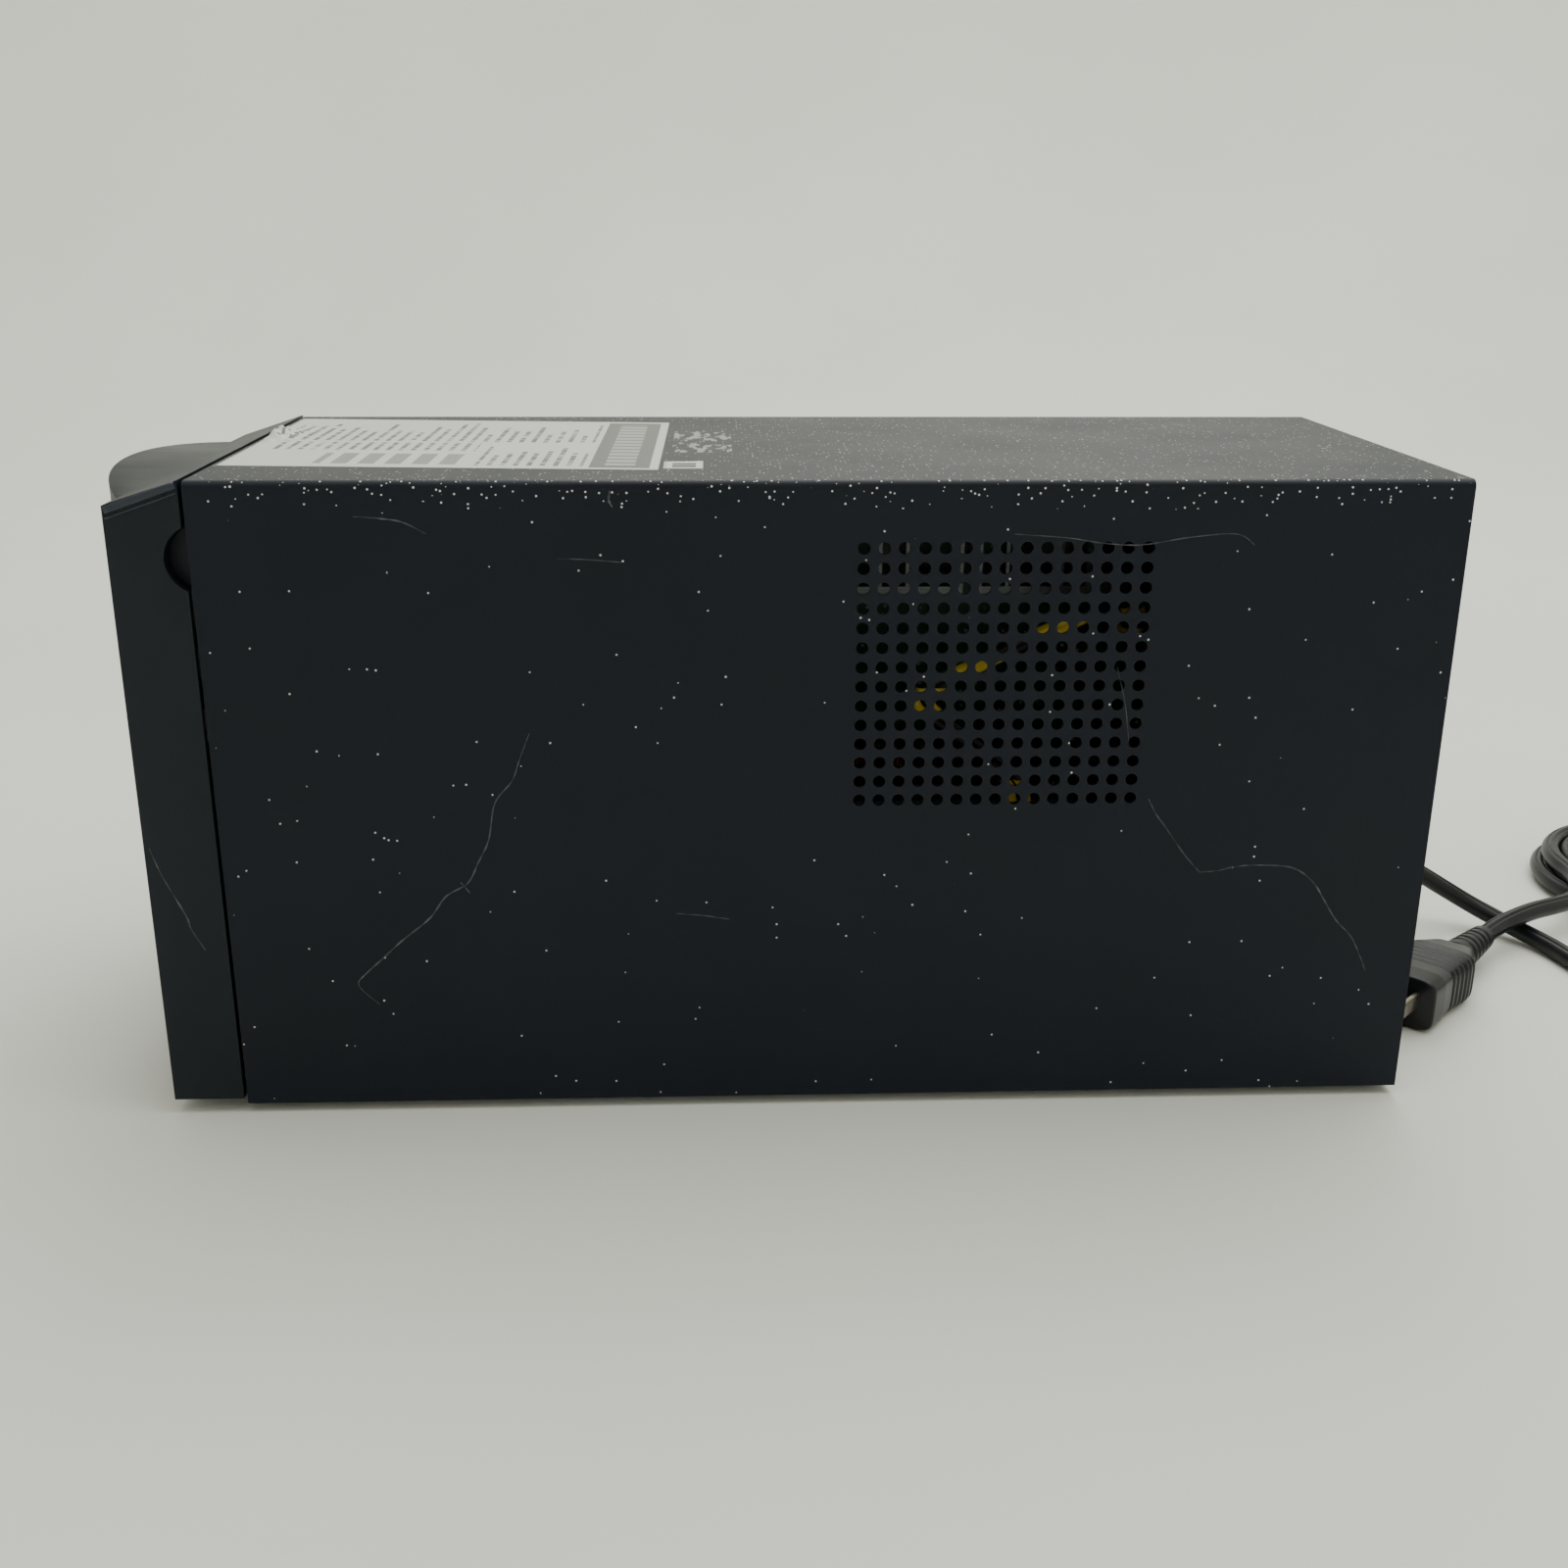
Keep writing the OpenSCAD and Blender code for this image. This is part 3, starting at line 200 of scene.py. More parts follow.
def new_object(name, points, faces, finish, smooth=True):
    """A mesh object at the origin from an array of points and a list of arrays of faces."""
    mesh = bpy.data.meshes.new(name)
    mesh.from_pydata(points.tolist(), [], [f for group in faces for f in group.tolist()])
    mesh.polygons.foreach_set("use_smooth", np.full(len(mesh.polygons), smooth))
    mesh.materials.append(finish)
    made = bpy.data.objects.new(name, mesh)
    bpy.context.scene.collection.objects.link(made)
    return made


def skin_of(rings):
    """Points and faces of rings of points joined one to the next, each end closed on its middle point."""
    rows, columns = rings.shape[:2]
    points = np.vstack([rings.reshape(-1, 3), rings[0].mean(0), rings[-1].mean(0)])
    here = np.arange(columns)
    beside = (here + 1) % columns
    last = (rows - 1) * columns
    caps = np.vstack([
        np.stack([beside, here, np.full(columns, rows * columns)], -1),
        np.stack([last + here, last + beside, np.full(columns, rows * columns + 1)], -1)])
    walls = grid_faces(rows, columns)
    triangles = np.vstack([walls[:, [0, 1, 2]], walls[:, [0, 2, 3]], caps])
    if outward(points, triangles) is not triangles:
        walls = walls[:, ::-1]
        caps = caps[:, ::-1]
    return points, walls, caps


def solid(name, shells, finish, smooth=True):
    """One object from several closed skins."""
    points = []
    faces = []
    start = 0
    for rings in shells:
        own, walls, caps = skin_of(rings)
        points.append(own)
        faces += [walls + start, caps + start]
        start += len(own)
    return new_object(name, np.vstack(points), faces, finish, smooth)


def smooth_route(points, steps):
    """A curve through every point: each span is the cubic whose slope at a point is half the way from
    the point before it to the point after it (Catmull-Rom)."""
    p = np.asarray(points, float)
    i = np.arange(len(p) - 1)
    a, b, c, d = (p[k][:, None] for k in (np.maximum(i - 1, 0), i, i + 1, np.minimum(i + 2, len(p) - 1)))
    t = (np.arange(steps) / steps)[None, :, None]
    spans = 0.5 * (2 * b + (c - a) * t + (2 * a - 5 * b + 4 * c - d) * t * t
                   + (3 * b - a - 3 * c + d) * t ** 3)
    return np.vstack([spans.reshape(-1, p.shape[1]), p[-1:]])


def spaced(path, step):
    """The same path with its points an even step apart, measured along it."""
    along = np.concatenate([[0], np.cumsum(np.linalg.norm(np.diff(path, axis=0), axis=1))])
    places = np.linspace(0, along[-1], max(int(round(along[-1] / step)), 2) + 1)
    return np.stack([np.interp(places, along, path[:, k]) for k in range(3)], -1)


def eased(x, places, values):
    """Values that go from one place to the next by the curve 3u^2 - 2u^3, so no step shows."""
    places = np.asarray(places, float)
    values = np.asarray(values, float)
    k = np.clip(np.searchsorted(places, x, side="right") - 1, 0, len(places) - 2)
    u = (x - places[k]) / (places[k + 1] - places[k])
    return values[k] + (values[k + 1] - values[k]) * u * u * (3 - 2 * u)


def carried(path, section, up):
    """Rings of a section carried along a path: its first axis is square to the path and to up, and its
    second is square to both. The section is one outline, or one for each point."""
    heading = np.gradient(path, axis=0)
    heading /= np.linalg.norm(heading, axis=1, keepdims=True)
    side = np.cross(heading, up)
    side /= np.linalg.norm(side, axis=1, keepdims=True)
    lift = np.cross(side, heading)
    outline = np.broadcast_to(section, (len(path), *np.shape(section)[-2:]))
    return (path[:, None] + side[:, None] * outline[..., :1] + lift[:, None] * outline[..., 1:])


def round_angles(count):
    """Evenly spaced angles once round a circle."""
    return np.linspace(0, 2 * np.pi, count, endpoint=False)


def squared(wave, power):
    """A wave with its size raised to a power and its sign kept: below 1, it squares off an oval."""
    return np.sign(wave) * np.abs(wave) ** power


def node_points(node):
    """The points of a CAD node's mesh, one in each row."""
    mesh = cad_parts[node].data
    points = np.empty(len(mesh.vertices) * 3, np.float32)
    mesh.vertices.foreach_get("co", points)
    return points.reshape(-1, 3)


def turned(profile, start, direction, columns=40):
    """Rings of a turned solid: each row of the profile is a distance along the axis and a radius."""
    axis = np.asarray(direction, float) / np.linalg.norm(direction)
    across = np.cross(axis, (0.0, 0.0, 1.0))
    across /= np.linalg.norm(across)
    other = np.cross(axis, across)
    angle = round_angles(columns)[None, :, None]
    along, radius = (np.asarray(profile, float)[:, k][:, None, None] for k in (0, 1))
    spokes = across * np.cos(angle) + other * np.sin(angle)
    return np.asarray(start, float) + axis * along + radius * spokes


def rounded_copy(name, node, width, finish, heights=()):
    """A welded copy of a CAD node, its flat faces made whole, with every sharp edge rounded. A level cut
    at each height keeps the shading round a hole from running down the whole face."""
    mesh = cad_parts[node].data.copy()
    mesh.name = name
    work = bmesh.new()
    work.from_mesh(mesh)
    bmesh.ops.remove_doubles(work, verts=work.verts, dist=2e-6)
    bmesh.ops.dissolve_limit(
        work, angle_limit=math.radians(0.4), verts=work.verts, edges=work.edges,
        use_dissolve_boundaries=False)
    for height in heights:
        bmesh.ops.bisect_plane(
            work, geom=[*work.verts, *work.edges, *work.faces], dist=1e-6, plane_co=(0, 0, height),
            plane_no=(0, 0, 1))
    work.to_mesh(mesh)
    work.free()
    mesh.materials.clear()
    mesh.materials.append(finish)
    mesh.polygons.foreach_set("use_smooth", np.full(len(mesh.polygons), True))
    mesh.polygons.foreach_set("material_index", np.zeros(len(mesh.polygons), np.int32))
    made = bpy.data.objects.new(name, mesh)
    bpy.context.scene.collection.objects.link(made)
    edges = made.modifiers.new("rounded edges", "BEVEL")
    edges.width = width
    edges.segments = 3
    edges.limit_method = "ANGLE"
    edges.angle_limit = math.radians(28)
    edges.use_clamp_overlap = True
    edges.harden_normals = True
    return made


def place(piece, body, slot, *nodes):
    """The piece rides on its body and stands for the CAD nodes named, which are hidden. The slot is not
    used.
    """
    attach(piece, body)
    if nodes:
        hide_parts(*nodes)
    return piece


# ---- Finishes ----

def add(tree, kind, inputs=None, **settings):
    """Adds a shader node, sets its options and sockets, links what is given as another node's output, and
    gives back the node's own outputs."""
    made = tree.nodes.new("ShaderNode" + kind)
    for name, value in settings.items():
        setattr(made, name, value)
    for socket, value in (inputs or {}).items():
        if isinstance(value, bpy.types.NodeSocket):
            tree.links.new(value, made.inputs[socket])
        else:
            made.inputs[socket].default_value = value
    return made.outputs


def surface(name, **sockets):
    """A new material with its shader's sockets set: the material, its nodes, its shader, and the place
    on the piece in millimetres."""
    made = bpy.data.materials.new(name)
    made.use_nodes = True
    tree = made.node_tree
    shader = tree.nodes["Principled BSDF"]
    for socket, value in sockets.items():
        shader.inputs[socket.replace("_", " ")].default_value = value
    here = add(tree, "TexCoord")["Object"]
    where = add(tree, "Mapping", {"Vector": here, "Scale": (1 / MM, 1 / MM, 1 / MM)})["Vector"]
    return made, tree, shader, where


def inside(tree, value, low, high):
    """1 where the value is between two numbers, else 0."""
    above = add(tree, "Math", {0: value, 1: low}, operation="GREATER_THAN")[0]
    under = add(tree, "Math", {0: value, 1: high}, operation="LESS_THAN")[0]
    return add(tree, "Math", {0: above, 1: under}, operation="MULTIPLY")[0]


def grained(tree, shader, where, grain, depth, edge):
    """Texture of a moulded, cast or coated face: noise with the grain's size, as deep as given, on edges
    that are eased by a small radius. All in millimetres."""
    grains = add(tree, "TexNoise", {"Vector": where, "Scale": 1 / grain, "Detail": 2.0})["Fac"]
    eased_edges = add(tree, "Bevel", {"Radius": edge * MM}, samples=4)["Normal"]
    lifted = add(tree, "Bump", {
        "Height": grains, "Distance": depth * MM, "Strength": 1.0, "Normal": eased_edges})["Normal"]
    tree.links.new(lifted, shader.inputs["Normal"])


def clouded(tree, shader, where, size, low, high, rough):
    """Colour that drifts between two tones over the given size, and roughness between two numbers."""
    cloud = add(tree, "TexNoise", {"Vector": where, "Scale": 1 / size, "Detail": 4.0})["Fac"]
    amount = add(tree, "MapRange", {"Value": cloud, "From Min": 0.35, "From Max": 0.65})[0]
    gloss = add(tree, "MapRange", {
        "Value": cloud, "From Min": 0.3, "From Max": 0.7, "To Min": rough[0], "To Max": rough[1]})[0]
    tree.links.new(gloss, shader.inputs["Roughness"])
    colour = add(tree, "Mix", {FACTOR: amount, FIRST: low, SECOND: high}, data_type="RGBA")[MIXED]
    tree.links.new(colour, shader.inputs["Base Color"])
    return colour


def scaled(colour, factor):
    """The same colour, darker or lighter."""
    return (*[min(c * factor, 1.0) for c in colour[:3]], 1.0)


def moulded(name, colour, rough, grain=0.6, depth=0.03, shine=0.4):
    """Injection-moulded plastic: the tool's fine etched texture breaks up the gloss, and its edges are
    eased. The colour is in the plastic, so it hardly varies."""
    made, tree, shader, where = surface(name, IOR=1.5, Specular_IOR_Level=shine)
    clouded(tree, shader, where, 35, scaled(colour, 0.88), scaled(colour, 1.14),
            (rough - 0.04, rough + 0.05))
    grained(tree, shader, where, grain, depth, 0.3)
    return made


def plated(name, colour, rough, patch=9.0):
    """Plated steel: bright, with faint cloudy patches where the zinc or nickel went on unevenly."""
    made, tree, shader, where = surface(name, Metallic=1.0)
    clouded(tree, shader, where, patch, scaled(colour, 0.8), scaled(colour, 1.1), (rough, rough + 0.14))
    grained(tree, shader, where, 0.5, 0.012, 0.2)
    return made


def insulated(name, colour, rough, shine):
    """Extruded insulation of a cord: smooth and slightly wavy, with a soft shine."""
    made, tree, shader, where = surface(name, IOR=1.5, Specular_IOR_Level=shine)
    clouded(tree, shader, where, 14, scaled(colour, 0.85), scaled(colour, 1.1), (rough, rough + 0.1))
    grained(tree, shader, where, 2.5, 0.05, 0.2)
    return made


def paired_insulation(name, colour, other):
    """Extruded insulation of two leads, one colour on each side of the unit's middle plane: smooth, with
    a soft shine."""
    made, tree, shader, where = surface(name, IOR=1.5, Specular_IOR_Level=0.4)
    across = add(tree, "SeparateXYZ", {"Vector": where})["Y"]
    far = add(tree, "Math", {0: across, 1: 0.0}, operation="GREATER_THAN")[0]
    cloud = clouded(tree, shader, where, 14, scaled(colour, 0.85), scaled(colour, 1.1), (0.32, 0.42))
    tree.links.new(add(tree, "Mix", {FACTOR: far, FIRST: other, SECOND: cloud}, data_type="RGBA")[MIXED],
                   shader.inputs["Base Color"])
    grained(tree, shader, where, 2.5, 0.05, 0.2)
    return made


def leads_in_painted_shade(name, colour, painted_shade_colour, lit_bands, top):
    """Extruded yellow insulation that shows only in short bands, each given as distances below the lead's
    top in millimetres. The rest is painted near-black as painted shade, for the leads lying in the case's
    shadow behind the vents."""
    made, tree, shader, where = surface(name, IOR=1.5, Specular_IOR_Level=0.35)
    height = add(tree, "SeparateXYZ", {"Vector": where})["Z"]
    below = add(tree, "Math", {0: top, 1: height}, operation="SUBTRACT")[0]
    shown = 0.0
    for start, end in lit_bands:
        band = inside(tree, below, start, end)
        shown = add(tree, "Math", {0: shown, 1: band}, operation="MAXIMUM")[0]
    cloud = clouded(tree, shader, where, 14, scaled(colour, 0.85), scaled(colour, 1.1), (0.32, 0.42))
    # Outside the bands the leads take the near-black painted shade colour
    tree.links.new(add(tree, "Mix", {FACTOR: shown, FIRST: painted_shade_colour, SECOND: cloud}, data_type="RGBA")[MIXED],
                   shader.inputs["Base Color"])
    grained(tree, shader, where, 0.8, 0.08, 0.2)
    return made


def powder_coat(name, colour, worn=True):
    """Powder-coated sheet steel, baked: a satin skin with a fine orange peel. On the cover, pale specks
    of dust and bared filler gather along the top edges, and glue from an old sticker is left on top."""
    made, tree, shader, where = surface(name, IOR=1.52, Specular_IOR_Level=0.19)
    colours = clouded(tree, shader, where, 60, scaled(colour, 0.9), scaled(colour, 1.12), (0.4, 0.47))
    # Orange peel is 1 mm across on the real sheet and is drawn at 1.2 mm so that it shows
    grained(tree, shader, where, 1.2, 0.035, 0.35)
    if not worn:
        return made
    axes = add(tree, "SeparateXYZ", {"Vector": where})
    top = float(COVER_HIGH[2]) / MM
    half = float(COVER_HIGH[1]) / MM
    # Closeness to the bends: 1 within 2 mm of one, and 0 from 10 mm on
    below = add(tree, "Math", {0: top, 1: axes["Z"]}, operation="SUBTRACT")[0]
    down = add(tree, "Math", {0: below, 1: 0.0}, operation="MAXIMUM")[0]
    across = add(tree, "Math", {0: axes["Y"]}, operation="ABSOLUTE")[0]
    aside = add(tree, "Math", {0: half, 1: across}, operation="SUBTRACT")[0]
    inward = add(tree, "Math", {0: aside, 1: 0.0}, operation="MAXIMUM")[0]
    away = add(tree, "Math", {0: down, 1: inward}, operation="ADD")[0]
    near = add(tree, "MapRange", {
        "Value": away, "From Min": 2.0, "From Max": 10.0, "To Min": 1.0, "To Max": 0.0})[0]
    on_top = add(tree, "Math", {0: below, 1: 0.5}, operation="LESS_THAN")[0]
    # Specks are 0.3 to 0.8 mm across, in cells of 1.4 mm, and only some cells have one
    cells = add(tree, "TexVoronoi", {"Vector": where, "Scale": 1 / 1.4})
    chance = add(tree, "SeparateColor", {"Color": cells["Color"]})
    away_share = add(tree, "Math", {0: on_top, 1: 0.3, 2: 0.01}, operation="MULTIPLY_ADD")[0]
    share = add(tree, "Math", {0: near, 1: 0.4, 2: away_share}, operation="MULTIPLY_ADD")[0]
    chosen = add(tree, "Math", {0: chance["Red"], 1: share}, operation="LESS_THAN")[0]
    radius = add(tree, "Math", {0: chance["Green"], 1: 0.18, 2: 0.1}, operation="MULTIPLY_ADD")[0]
    dot = add(tree, "Math", {0: cells["Distance"], 1: radius}, operation="LESS_THAN")[0]
    speck = add(tree, "Math", {0: chosen, 1: dot}, operation="MULTIPLY")[0]
    dusty = add(tree, "Math", {0: speck, 1: 0.9}, operation="MULTIPLY")[0]
    # Glue left by a sticker, 21 by 58 mm on top, in broken strokes
    glue_at = float(COVER_LOW[0]) / MM + 160
    glue_side = 7.5
    patch_long = inside(tree, axes["X"], glue_at - 21 / 2, glue_at + 21 / 2)
    patch_wide = inside(tree, axes["Y"], glue_side - 58 / 2, glue_side + 58 / 2)
    stretched = add(tree, "Mapping", {"Vector": where, "Scale": (0.3, 0.1, 0.3)})["Vector"]
    strokes = add(tree, "TexNoise", {"Vector": stretched, "Scale": 1.0, "Detail": 5.0})["Fac"]
    stuck = add(tree, "Math", {0: strokes, 1: 0.55}, operation="GREATER_THAN")[0]
    for mask in (patch_long, patch_wide, on_top, 0.55):
        stuck = add(tree, "Math", {0: stuck, 1: mask}, operation="MULTIPLY")[0]
    dusted = add(tree, "Mix", {FACTOR: dusty, FIRST: colours, SECOND: linear("d4d6d8")},
                 data_type="RGBA")[MIXED]
    final = add(tree, "Mix", {FACTOR: stuck, FIRST: dusted, SECOND: linear("b9bab8")},
                data_type="RGBA")[MIXED]
    tree.links.new(final, shader.inputs["Base Color"])
    return made


def scratch_mark(name):
    """Bared primer in a scratch: a chalky line that comes and goes along its length."""
    made, tree, shader, where = surface(name, IOR=1.45)
    clouded(tree, shader, where, 4.5, linear("1e2025"), linear("585b60"), (0.55, 0.7))
    grained(tree, shader, where, 0.4, 0.01, 0.05)
    return made


def circuit_board(name):
    """Glass-fibre board with a green solder mask: glossy, with lighter copper tracks and tinned pads."""
    made, tree, shader, where = surface(name, IOR=1.5, Coat_Weight=0.4, Coat_Roughness=0.12)
    tracks = add(tree, "TexBrick", {
        "Vector": where, "Scale": 1 / 6.0, "Color1": linear("14522c"), "Color2": linear("1a6236"),
        "Mortar": linear("0d3b1f"), "Mortar Size": 0.06, "Brick Width": 1.4, "Row Height": 0.36})["Color"]
    pads = add(tree, "TexVoronoi", {"Vector": where, "Scale": 1 / 5.0})["Distance"]
    tinned = add(tree, "Math", {0: pads, 1: 0.14}, operation="LESS_THAN")[0]
    colour = add(tree, "Mix", {FACTOR: tinned, FIRST: tracks, SECOND: linear("b8bab5")},
                 data_type="RGBA")[MIXED]
    tree.links.new(colour, shader.inputs["Base Color"])
    gloss = add(tree, "Math", {0: tinned, 1: 0.1, 2: 0.3}, operation="MULTIPLY_ADD")[0]
    tree.links.new(gloss, shader.inputs["Roughness"])
    grained(tree, shader, where, 1.5, 0.03, 0.15)
    return made


def banded(name, colour, other, axis, pitch, metallic, rough, depth):
    """Sheets, turns or drawn lines side by side: the tone and the height swing once in each pitch along
    one axis, as on stamped laminations, wound tape, wound wire and extruded metal."""
    made, tree, shader, where = surface(name, Metallic=metallic, Roughness=rough)
    # At a scale of 0.314 the wave repeats once in a millimetre
    line = add(tree, "TexWave", {
        "Vector": where, "Scale": 1 / pitch * 0.314, "Distortion": 0.6, "Detail": 2.0,
        "Detail Scale": 0.3}, bands_direction=axis)["Fac"]
    toned = add(tree, "Mix", {FACTOR: line, FIRST: colour, SECOND: other}, data_type="RGBA")[MIXED]
    tree.links.new(toned, shader.inputs["Base Color"])
    edges = add(tree, "Bevel", {"Radius": 0.3 * MM}, samples=4)["Normal"]
    lifted = add(tree, "Bump", {
        "Height": line, "Distance": depth * MM, "Strength": 1.0, "Normal": edges})["Normal"]
    tree.links.new(lifted, shader.inputs["Normal"])
    return made


def clear_acrylic(name, colour, see_through):
    """Polished acrylic: tinted, with a sharp reflection and a few hair scratches."""
    made, tree, shader, where = surface(name, IOR=1.49, Transmission_Weight=see_through, Coat_Weight=0.3)
    hairs = add(tree, "Mapping", {
        "Vector": where, "Scale": (0.4, 6.0, 0.4), "Rotation": (0.5, 0.2, 0.1)})["Vector"]
    rubbed = add(tree, "TexNoise", {"Vector": hairs, "Scale": 1.0, "Detail": 6.0})["Fac"]
    gloss = add(tree, "MapRange", {
        "Value": rubbed, "From Min": 0.5, "From Max": 0.8, "To Min": 0.04, "To Max": 0.2})[0]
    tree.links.new(gloss, shader.inputs["Roughness"])
    tint = add(tree, "Mix", {FACTOR: rubbed, FIRST: scaled(colour, 0.9), SECOND: scaled(colour, 1.1)},
               data_type="RGBA")[MIXED]
    tree.links.new(tint, shader.inputs["Base Color"])
    return made


def display_glass(name):
    """Unlit liquid-crystal panel: grey-green film with its rows of segments just showing."""
    made, tree, shader, where = surface(name, IOR=1.5, Roughness=0.22)
    facing = add(tree, "Mapping", {"Vector": where, "Rotation": (0, math.pi / 2, 0)})["Vector"]
    cells = add(tree, "TexBrick", {
        "Vector": facing, "Scale": 1 / 4.0, "Color1": linear("2b322a"), "Color2": linear("30382e"),
        "Mortar": linear("232922"), "Mortar Size": 0.05})["Color"]
    tree.links.new(cells, shader.inputs["Base Color"])
    grained(tree, shader, where, 1.0, 0.01, 0.1)
    return made


def woven_strap(name):
    """Woven nylon tape: crossed ribs 0.9 mm apart, matt and slightly fuzzy."""
    made, tree, shader, where = surface(name, Sheen_Weight=0.25, Roughness=0.85)
    warp = add(tree, "TexWave", {"Vector": where, "Scale": 0.35}, bands_direction="X")["Fac"]
    weft = add(tree, "TexWave", {"Vector": where, "Scale": 0.35}, bands_direction="Z")["Fac"]
    cross = add(tree, "Math", {0: warp, 1: weft}, operation="MULTIPLY")[0]
    colour = add(tree, "Mix", {FACTOR: cross, FIRST: linear("15171a"), SECOND: linear("303338")},
                 data_type="RGBA")[MIXED]
    tree.links.new(colour, shader.inputs["Base Color"])
    lifted = add(tree, "Bump", {"Height": cross, "Distance": 0.2 * MM, "Strength": 1.0})["Normal"]
    tree.links.new(lifted, shader.inputs["Normal"])
    return made


def printed_film(name, paper):
    """Printed polyester film: satin white with thin grey rules in broken lengths, a grey heading band
    with pale blocks, and a row of grey boxes. The rules stand for print and spell nothing."""
    made, tree, shader, where = surface(name, IOR=1.5, Roughness=0.36)
    film = add(tree, "SeparateXYZ", {"Vector": add(tree, "TexCoord")["UV"]})
    along = add(tree, "Math", {0: film["X"], 1: LABEL_LENGTH}, operation="MULTIPLY")[0]
    across = add(tree, "Math", {0: film["Y"], 1: LABEL_WIDTH}, operation="MULTIPLY")[0]

    def area(wide, long):
        masks = inside(tree, across, *wide), inside(tree, along, *long)
        return add(tree, "Math", {0: masks[0], 1: masks[1]}, operation="MULTIPLY")[0]

    def repeated(value, pitch, share):
        turns = add(tree, "Math", {0: value, 1: pitch}, operation="DIVIDE")[0]
        part = add(tree, "Math", {0: turns}, operation="FRACT")[0]
        return turns, add(tree, "Math", {0: part, 1: share}, operation="LESS_THAN")[0]

    # Rules 4.4 mm apart in three blocks, two of them with a ragged end, broken where the noise is low
    turns, on_line = repeated(along, 4.4, 0.4)
    line = add(tree, "Math", {0: turns}, operation="FLOOR")[0]
    luck = add(tree, "TexWhiteNoise", {"W": line}, noise_dimensions="1D")["Color"]
    tones = add(tree, "SeparateColor", {"Color": luck})
    near_end = add(tree, "Math", {0: tones["Red"], 1: 26.0, 2: 30.0}, operation="MULTIPLY_ADD")[0]
    far_end = add(tree, "Math", {0: tones["Green"], 1: 36.0, 2: 84.0}, operation="MULTIPLY_ADD")[0]
    blocks = area((6.0, near_end), (84.0, 120.0))
    for wide, long in (((64.0, far_end), (5.0, 120.0)), ((40.0, 60.0), (8.0, 80.0))):
        blocks = add(tree, "Math", {0: blocks, 1: area(wide, long)}, operation="MAXIMUM")[0]
    place_on_line = add(tree, "CombineXYZ", {
        "X": add(tree, "Math", {0: line, 1: 7.3}, operation="MULTIPLY")[0],
        "Y": add(tree, "Math", {0: across, 1: 0.42}, operation="MULTIPLY")[0]})["Vector"]
    words = add(tree, "TexNoise", {"Vector": place_on_line, "Scale": 1.0, "Detail": 1.0})["Fac"]
    inked = add(tree, "Math", {0: words, 1: 0.43}, operation="GREATER_THAN")[0]
    ink = 0.92
    for mask in (on_line, inked, blocks):
        ink = add(tree, "Math", {0: ink, 1: mask}, operation="MULTIPLY")[0]
    column = repeated(along, 9.0, 0.62)[1]
    gap = repeated(across, 8.2, 0.66)[1]
    boxes = add(tree, "Math", {0: column, 1: area((7.0, 32.0), (30.0, 80.0))}, operation="MULTIPLY")[0]
    heading = area((3.0, 123.0), (122.0, 142.0))
    for mask, tone in ((boxes, 0.7), (heading, 0.95)):
        toned = add(tree, "Math", {0: mask, 1: tone}, operation="MULTIPLY")[0]
        ink = add(tree, "Math", {0: ink, 1: toned}, operation="MAXIMUM")[0]
    pale = add(tree, "Math", {0: gap, 1: area((9.0, 116.0), (127.0, 137.0))}, operation="MULTIPLY")[0]
    lighter = add(tree, "Math", {0: pale, 1: 0.5}, operation="MULTIPLY")[0]
    ink = add(tree, "Math", {0: ink, 1: lighter}, operation="SUBTRACT", use_clamp=True)[0]
    aged = add(tree, "TexNoise", {"Vector": where, "Scale": 1 / 25, "Detail": 3.0})["Fac"]
    clean = add(tree, "Mix", {FACTOR: aged, FIRST: scaled(paper, 0.94), SECOND: scaled(paper, 1.04)},
                data_type="RGBA")[MIXED]
    colour = add(tree, "Mix", {FACTOR: ink, FIRST: clean, SECOND: linear("3b3c3a")},
                 data_type="RGBA")[MIXED]
    tree.links.new(colour, shader.inputs["Base Color"])
    grained(tree, shader, where, 5.0, 0.06, 0.05)
    return made


def striped_label(name, paper):
    """Small paper sticker with upright bars of uneven width, which stand for a stock mark."""
    made, tree, shader, where = surface(name, IOR=1.45, Roughness=0.5)
    film = add(tree, "SeparateXYZ", {"Vector": add(tree, "TexCoord")["UV"]})
    steps = add(tree, "Math", {0: film["Y"], 1: 26.0}, operation="MULTIPLY")[0]
    step = add(tree, "Math", {0: steps}, operation="FLOOR")[0]
    bars = add(tree, "TexWhiteNoise", {"W": step}, noise_dimensions="1D")["Value"]
    ink = add(tree, "Math", {0: bars, 1: 0.42}, operation="GREATER_THAN")[0]
    for mask in (inside(tree, film["Y"], 0.14, 0.86), inside(tree, film["X"], 0.22, 0.82)):
        ink = add(tree, "Math", {0: ink, 1: mask}, operation="MULTIPLY")[0]
    colour = add(tree, "Mix", {FACTOR: ink, FIRST: paper, SECOND: linear("17181a")},
                 data_type="RGBA")[MIXED]
    tree.links.new(colour, shader.inputs["Base Color"])
    grained(tree, shader, where, 2.0, 0.03, 0.05)
    return made


def studio_paper(name, colour):
    """Rolled background paper: matt, with a faint unevenness."""
    made, tree, shader, where = surface(name, Specular_IOR_Level=0.2)
    clouded(tree, shader, where, 420, scaled(colour, 0.97), scaled(colour, 1.02), (0.8, 0.9))
    grained(tree, shader, where, 4.0, 0.05, 0.0)
    return made


def finish_nodes(finish, *nodes):
    """Puts a material on CAD nodes whose shape stays."""
    for name in nodes:
        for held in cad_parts[name].material_slots:
            held.material = finish


# ---- Operators ----

